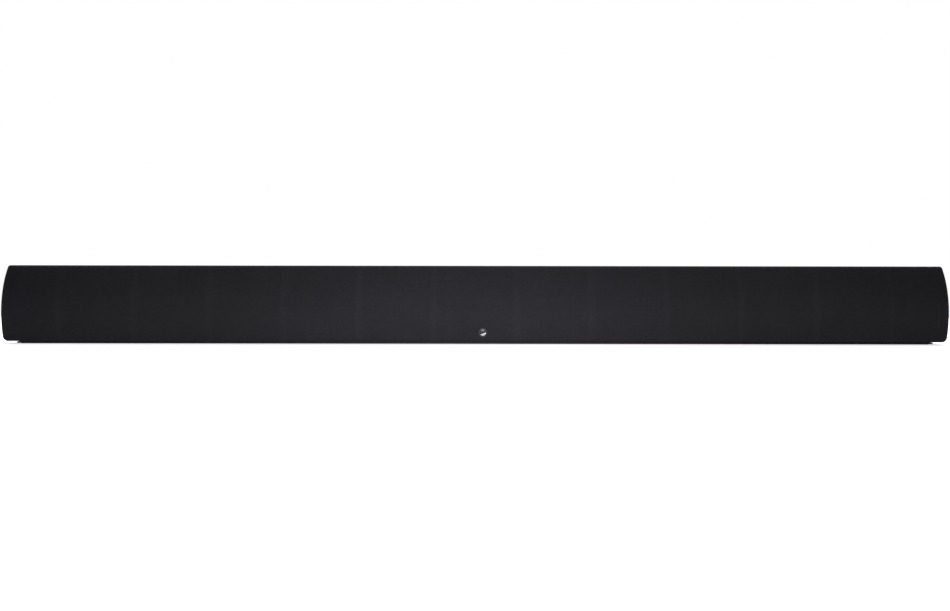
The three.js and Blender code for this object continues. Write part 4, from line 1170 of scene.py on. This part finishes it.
class SOUNDBAR_OT_cabinet_screws(bpy.types.Operator):
    """Make the screws in the cabinet's back and in its base"""

    bl_idname = "soundbar.cabinet_screws"
    bl_label = "Cabinet screws"

    BACK_COLUMNS = (-0.503, -0.35, -0.17, 0.17, 0.35, 0.503)
    BACK_INSET = 9 * MM
    BASE_COLUMNS = (-0.56, -0.28, 0, 0.28, 0.56)
    SUNK = 0.1 * MM

    def execute(self, context):
        low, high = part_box("cabinet_shell")
        rows = (low.z + self.BACK_INSET, high.z - self.BACK_INSET)
        back = [Vector((x, BACK_FACE - self.SUNK, z)) for x in self.BACK_COLUMNS for z in rows]
        screws("back_screws", back, BACKWARD, "cabinet_shell")
        low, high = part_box("base_plate")
        under = [Vector((x, (low.y + high.y) / 2, low.z + self.SUNK)) for x in self.BASE_COLUMNS]
        screws("base_screws", under, DOWNWARD, "base_plate", height=0.55 * MM, radius=2.6 * MM)
        return {"FINISHED"}


# ---- drivers and ports, whose outlines are in millimetres from the baffle's face


class SOUNDBAR_OT_woofers(bpy.types.Operator):
    """Make the four woofers"""

    bl_idname = "soundbar.woofers"
    bl_label = "Woofers"

    RIDGES = 6

    def execute(self, context):
        for driver in WOOFERS:
            middle = centre_of(driver + "_magnet")
            centre = Vector((middle.x, BAFFLE_FACE, middle.z))
            self.add_basket(driver, centre)
            self.add_surround(driver, centre)
            self.add_cone(driver, centre)
            self.add_motor(driver, centre)
            self.add_spider(driver, centre)
            driver_screws(driver, driver + "_basket", centre, 39.3, 4, 45)
        return {"FINISHED"}

    def add_basket(self, driver, centre):
        """Flange and back ring, joined by six legs."""
        bm = bmesh.new()
        flange = [(41.0, -0.3), (41.0, -1.7), (40.4, -2.3), (35.2, -2.3)]
        flange += [(34.6, -1.7), (34.6, 1.4), (36.0, 1.4), (36.0, -0.3)]
        turned(bm, flange, 96)
        ring = [(24.6, 21.0), (23.1, 21.0), (22.0, 22.5), (14.2, 22.5)]
        ring += [(14.2, 24.0), (24.1, 24.0), (24.6, 23.5)]
        turned(bm, ring)
        leg = [(36.0, 1.2), (34.6, 1.2), (22.9, 21.6), (24.5, 21.6)]
        for step in range(6):
            corners = [(radius * MM, depth * MM, 0) for radius, depth in leg]
            swept(bm, corners, BACKWARD, 22, 6, 60 * step + 19)
        clean(bm)
        place(bm, centre)
        add_piece(driver + "_cast_basket", bm, "inner", driver + "_basket")

    def add_surround(self, driver, centre):
        """A half roll of rubber with a lip on each side."""
        outline = (
            [(37.5, -2.65), (34.0, -2.65)]
            + arc((31.45, -3.3), 2.0, 0, 180, 12)[1:]
            + [(29.5, -2.4), (29.6, 2.9), (29.0, 2.9), (28.9, -3.3)]
            + arc((31.45, -3.3), 2.6, 180, 0, 14)
            + [(34.05, -3.45), (37.3, -3.45)]
        )
        turned_piece(driver + "_half_roll", outline, "surround", driver + "_surround", centre, steps=96)

    def add_cone(self, driver, centre):
        """Dust cap, cone and voice coil."""
        outline = (
            arc((0, 16.2), 10.6, -90, -34, 12)
            + [(9.3, 10.6), (12.4, 12.9)]
            + [(15.5, 10.1), (19.0, 7.4), (23.0, 4.9), (26.0, 3.3), (28.4, 2.2)]
            + [(28.45, 2.95), (26.2, 4.1), (23.3, 5.7), (19.4, 8.2), (15.9, 10.9), (13.0, 13.7)]
            + [(13.0, 31.9), (12.25, 31.9), (12.25, 14.2), (9.3, 11.6), (0, 6.5)]
        )
        turned_piece(driver + "_pulp_cone", outline, "cone", driver + "_cone", centre, steps=96, closed=False)

    def add_motor(self, driver, centre):
        """Top plate with the coil's gap, ferrite ring and back plate."""
        outline = [(0, 24.3), (11.3, 24.3), (11.3, 38.0), (13.9, 38.0), (13.9, 24.3), (22.5, 24.3)]
        outline += [(23.0, 24.8), (23.0, 26.8), (25.6, 26.8), (26.0, 27.2), (26.0, 38.0), (25.6, 38.4)]
        outline += [(23.0, 38.4), (23.0, 41.5), (22.5, 42.0), (0, 42.0)]
        turned_piece(driver + "_motor", outline, "ferrite", driver + "_magnet", centre, closed=False)

    def add_spider(self, driver, centre):
        """A corrugated disc of varnished cloth."""
        points = self.RIDGES * 4
        front = [
            (13.4 + 8.6 * step / points, 20.3 + 0.45 * math.sin(step * math.pi / 2))
            for step in range(points + 1)
        ]
        back = [(radius, depth + 0.35) for radius, depth in reversed(front)]
        turned_piece(driver + "_corrugated_spider", front + back, "spider", driver + "_spider", centre)


class SOUNDBAR_OT_tweeters(bpy.types.Operator):
    """Make the two tweeters"""

    bl_idname = "soundbar.tweeters"
    bl_label = "Tweeters"

    def execute(self, context):
        plate = (
            [(25.6, -0.3), (26.0, -0.7), (26.0, -1.8)]
            + arc((25.5, -1.8), 0.5, 0, -90, 4)[1:]
            + [(20.0, -2.3)]
            + [(18.0, -2.15), (15.0, -1.7), (12.4, -1.1), (10.45, -0.75), (10.45, -0.3)]
        )
        dome = (
            arc((0, 11.5), 15.6, -90, -58, 12)
            + [(8.9, -1.3), (9.6, -1.5), (10.0, -1.0), (10.0, -0.35)]
            + [(9.2, -0.35), (8.6, -0.8)]
            + arc((0, 11.5), 15.0, -58, -90, 12)
        )
        motor = [(0, 0.2), (15.6, 0.2), (16.0, 0.6), (16.0, 16.6), (15.6, 17.0), (0, 17.0)]
        for driver in TWEETERS:
            middle = centre_of(driver + "_magnet")
            centre = Vector((middle.x, BAFFLE_FACE, middle.z))
            turned_piece(driver + "_waveguide", plate, "inner", driver + "_faceplate", centre, steps=96)
            turned_piece(driver + "_silk_dome", dome, "silk", driver + "_dome", centre, closed=False)
            turned_piece(driver + "_motor", motor, "ferrite", driver + "_magnet", centre, closed=False)
            driver_screws(driver, driver + "_faceplate", centre, 22.9, 3, 90)
        return {"FINISHED"}


class SOUNDBAR_OT_bass_ports(bpy.types.Operator):
    """Make the two flared bass ports, outlined from the cabinet's back"""

    bl_idname = "soundbar.bass_ports"
    bl_label = "Bass ports"

    def execute(self, context):
        for side in SIDES:
            node = f"{side}_bass_port"
            low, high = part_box(node)
            inner = (low.y - high.y) / MM
            tube = (
                [(15.0, inner + 0.5), (15.0, -6.5), (19.4, -2.5), (20.0, -2.3), (20.0, -0.4)]
                + [(19.6, 0.0), (17.6, 0.0)]
                + arc((21.0, -8.0), 8.0, 115, 180, 12)
                + [(13.0, inner + 2.0)]
                + arc((14.0, inner + 1.0), 1.0, 180, 330, 6)
            )
            turned_piece(node + "_flare", tube, "port", node, mouth_of(node), steps=96)
        return {"FINISHED"}


# ---- connectors and electronics


class SOUNDBAR_OT_connector_tray(bpy.types.Operator):
    """Soften the recessed tray that holds the sockets"""

    bl_idname = "soundbar.connector_tray"
    bl_label = "Connector tray"

    def execute(self, context):
        softened("connector_tray", "moulding", "cabinet", context.scene.soundbar_trim.edge)
        return {"FINISHED"}


class SOUNDBAR_OT_sockets(bpy.types.Operator):
    """Finish the four sockets and what can be seen inside them"""

    bl_idname = "soundbar.sockets"
    bl_label = "Sockets"

    CONTACTS = 10
    PIN_PLACES = (-4.3, 4.3)

    def execute(self, context):
        fine_edge = context.scene.soundbar_trim.fine_edge
        softened("power_inlet", "housing", "connector", fine_edge)
        softened("optical_socket", "housing", "connector", fine_edge)
        softened("hdmi_socket", "shell", "zinc", 0.2 * MM)
        softened("aux_socket", "collar", "connector", fine_edge)
        self.add_hdmi_tongue()
        self.add_inlet_pins()
        self.add_optical_flap()
        self.add_aux_ring()
        return {"FINISHED"}

    def add_hdmi_tongue(self):
        centre = mouth_of("hdmi_socket")
        bm = bmesh.new()
        block_about(bm, centre, (-5.5, -9.0, 0.1), (5.5, -1.8, 1.0), 0.15 * MM)
        add_piece("hdmi_tongue", bm, "connector", "hdmi_socket", stands_for=False)
        bm = bmesh.new()
        for step in range(self.CONTACTS):
            x = step - (self.CONTACTS - 1) / 2
            block_about(bm, centre, (x - 0.22, -8.8, -0.02), (x + 0.22, -2.1, 0.12))
        add_piece("hdmi_contacts", bm, "contact", "hdmi_socket", stands_for=False)

    def add_inlet_pins(self):
        pin = [(0, -15.0), (1.25, -15.0), (1.25, -5.4), (1.05, -4.9), (0.5, -4.6), (0, -4.6)]
        options = {"steps": 32, "closed": False, "stands_for": False}
        for side, x in zip(SIDES, self.PIN_PLACES):
            centre = mouth_of("power_inlet") + Vector((x * MM, 0, 0))
            turned_piece(f"power_inlet_{side}_pin", pin, "zinc", "power_inlet", centre, **options)

    def add_optical_flap(self):
        centre = mouth_of("optical_socket")
        bm = bmesh.new()
        block_about(bm, centre, (-3.7, -1.9, -3.7), (3.7, -1.3, 3.7), 0.25 * MM)
        block_about(bm, centre, (-2.6, -1.4, -0.5), (2.6, -1.1, 0.5), 0.1 * MM)
        add_piece("optical_flap", bm, "button", "optical_socket", stands_for=False)

    def add_aux_ring(self):
        ring = [(2.0, -1.0), (4.0, -1.0), (4.0, 0.25), (3.7, 0.5), (2.3, 0.5), (2.0, 0.3)]
        centre = mouth_of("aux_socket")
        turned_piece("aux_ring", ring, "zinc", "aux_socket", centre, steps=48, stands_for=False)


class SOUNDBAR_OT_circuit_boards(bpy.types.Operator):
    """Finish the three circuit boards and the components on them"""

    bl_idname = "soundbar.circuit_boards"
    bl_label = "Circuit boards"

    BOARD = 1.65 * MM

    def execute(self, context):
        for node in ("main_board", "power_supply_board"):
            self.add_board(node)
        dress("button_board", "circuit")
        return {"FINISHED"}

    def add_board(self, node):
        """A board whose components, behind its face, have their own dark finish."""
        board_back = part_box(node)[0].y + self.BOARD
        bm = welded_copy(node)
        round_off(bm, sharp_edges(bm, SHARP), 0.12 * MM, 1)
        for face in bm.faces:
            face.material_index = int(face.calc_center_median().y > board_back)
        board = add_piece(node + "_with_components", bm, "circuit", node)
        board.data.materials.append(finish_of("component"))


class SOUNDBAR_OT_power_parts(bpy.types.Operator):
    """Finish the heatsink and the transformer"""

    bl_idname = "soundbar.power_parts"
    bl_label = "Heatsink and transformer"

    def execute(self, context):
        softened("heatsink", "extrusion", "aluminium", 0.3 * MM)
        softened("transformer", "core", "core", 0.5 * MM)
        return {"FINISHED"}


class SOUNDBAR_OT_speaker_leads(bpy.types.Operator):
    """Finish the two speaker leads"""

    bl_idname = "soundbar.speaker_leads"
    bl_label = "Speaker leads"

    def execute(self, context):
        for side in SIDES:
            dress(f"{side}_speaker_lead", "lead")
        return {"FINISHED"}


class SOUNDBAR_OT_remote_sensor(bpy.types.Operator):
    """Make the remote sensor: a domed red window through the baffle, on its small card"""

    bl_idname = "soundbar.remote_sensor"
    bl_label = "Remote sensor"

    def execute(self, context):
        low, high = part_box("remote_sensor")
        centre = Vector(((low.x + high.x) / 2, low.y, (low.z + high.z) / 2))
        window = arc((0, 4.5), 4.5, -90, -48, 8) + [(3.0, 2.0), (3.0, 6.6), (0, 6.6)]
        options = {"steps": 48, "closed": False}
        turned_piece("sensor_window_lens", window, "sensor", "remote_sensor", centre, **options)
        bm = bmesh.new()
        block(bm, (low.x, high.y - 1.6 * MM, low.z), high, 0.15 * MM)
        add_piece("sensor_card", bm, "circuit", "remote_sensor", stands_for=False)
        return {"FINISHED"}


# ---- controls


class SOUNDBAR_OT_control_bezel(bpy.types.Operator):
    """Soften the sunken bezel around the buttons"""

    bl_idname = "soundbar.control_bezel"
    bl_label = "Control bezel"

    def execute(self, context):
        softened("control_bezel", "moulding", "bezel", context.scene.soundbar_trim.fine_edge)
        return {"FINISHED"}


class SOUNDBAR_OT_buttons(bpy.types.Operator):
    """Finish the four buttons with their printed marks"""

    bl_idname = "soundbar.buttons"
    bl_label = "Buttons"

    INK_BELOW = -0.02
    INK_ABOVE = 0.05
    HALF_LINE = 0.24

    def execute(self, context):
        marks = (self.power_mark, self.source_mark, self.minus_mark, self.plus_mark)
        for node, mark in zip(BUTTONS, marks):
            softened(node, "cap", "button", 0.35 * MM, segments=3)
            top = centre_of(node)
            top.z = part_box(node)[1].z
            bm = bmesh.new()
            mark(bm)
            place(bm, top)
            add_piece(node + "_mark", bm, "ink", node, stands_for=False)
        return {"FINISHED"}

    def bar(self, bm, across, along):
        """A thin printed bar between two ranges, in millimetres."""
        low, high = zip(across, along, (self.INK_BELOW, self.INK_ABOVE))
        block_about(bm, Vector(), low, high)

    def ring(self, bm, sweep, start):
        """Part of a printed ring."""
        inner, outer = 1.9 - 0.225, 1.9 + 0.225
        below, above = self.INK_BELOW, self.INK_ABOVE
        outline = [(inner, below), (outer, below), (outer, above), (inner, above)]
        swept(bm, [(across * MM, 0, up * MM) for across, up in outline], UPWARD, sweep, 36, start)
        clean(bm)

    def power_mark(self, bm):
        self.ring(bm, 290, 125)
        self.bar(bm, (-0.22, 0.22), (0.5, 2.5))

    def source_mark(self, bm):
        self.ring(bm, 250, 55)
        self.bar(bm, (-0.6, 2.6), (-0.22, 0.22))

    def minus_mark(self, bm):
        self.bar(bm, (-1.9, 1.9), (-self.HALF_LINE, self.HALF_LINE))

    def plus_mark(self, bm):
        self.minus_mark(bm)
        self.bar(bm, (-self.HALF_LINE, self.HALF_LINE), (-1.9, -0.26))
        self.bar(bm, (-self.HALF_LINE, self.HALF_LINE), (0.26, 1.9))


# ---- panel and registration

STEPS = (
    SOUNDBAR_OT_stage,
    SOUNDBAR_OT_cloth,
    SOUNDBAR_OT_grille_frame,
    SOUNDBAR_OT_badge,
    SOUNDBAR_OT_shell,
    SOUNDBAR_OT_baffle,
    SOUNDBAR_OT_base_plate,
    SOUNDBAR_OT_foot_strips,
    SOUNDBAR_OT_wall_mounts,
    SOUNDBAR_OT_cabinet_screws,
    SOUNDBAR_OT_woofers,
    SOUNDBAR_OT_tweeters,
    SOUNDBAR_OT_bass_ports,
    SOUNDBAR_OT_connector_tray,
    SOUNDBAR_OT_sockets,
    SOUNDBAR_OT_circuit_boards,
    SOUNDBAR_OT_power_parts,
    SOUNDBAR_OT_speaker_leads,
    SOUNDBAR_OT_remote_sensor,
    SOUNDBAR_OT_control_bezel,
    SOUNDBAR_OT_buttons,
)
SETTINGS = {
    "soundbar_cloth": SoundbarClothSettings,
    "soundbar_trim": SoundbarTrimSettings,
    "soundbar_light": SoundbarLightSettings,
    "soundbar_camera": SoundbarCameraSettings,
}


class SOUNDBAR_PT_panel(bpy.types.Panel):
    """Lists the soundbar's sizes and the steps that build it"""

    bl_label = "Soundbar"
    bl_idname = "SOUNDBAR_PT_panel"
    bl_space_type = "VIEW_3D"
    bl_region_type = "UI"
    bl_category = "Soundbar"

    def draw(self, context):
        for name, group in SETTINGS.items():
            box = self.layout.box()
            box.label(text=group.__doc__)
            for setting in group.__annotations__:
                box.prop(getattr(context.scene, name), setting)
        for step in STEPS:
            self.layout.operator(step.bl_idname)


CLASSES = (*SETTINGS.values(), *STEPS, SOUNDBAR_PT_panel)


def register():
    for item in CLASSES:
        bpy.utils.register_class(item)
    for name, group in SETTINGS.items():
        setattr(bpy.types.Scene, name, PointerProperty(type=group))


def unregister():
    for name in SETTINGS:
        delattr(bpy.types.Scene, name)
    for item in reversed(CLASSES):
        bpy.utils.unregister_class(item)


def main():
    register()
    for step in STEPS:
        group, name = step.bl_idname.split(".")
        getattr(getattr(bpy.ops, group), name)()
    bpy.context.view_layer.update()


if __name__ == "__main__":
    main()
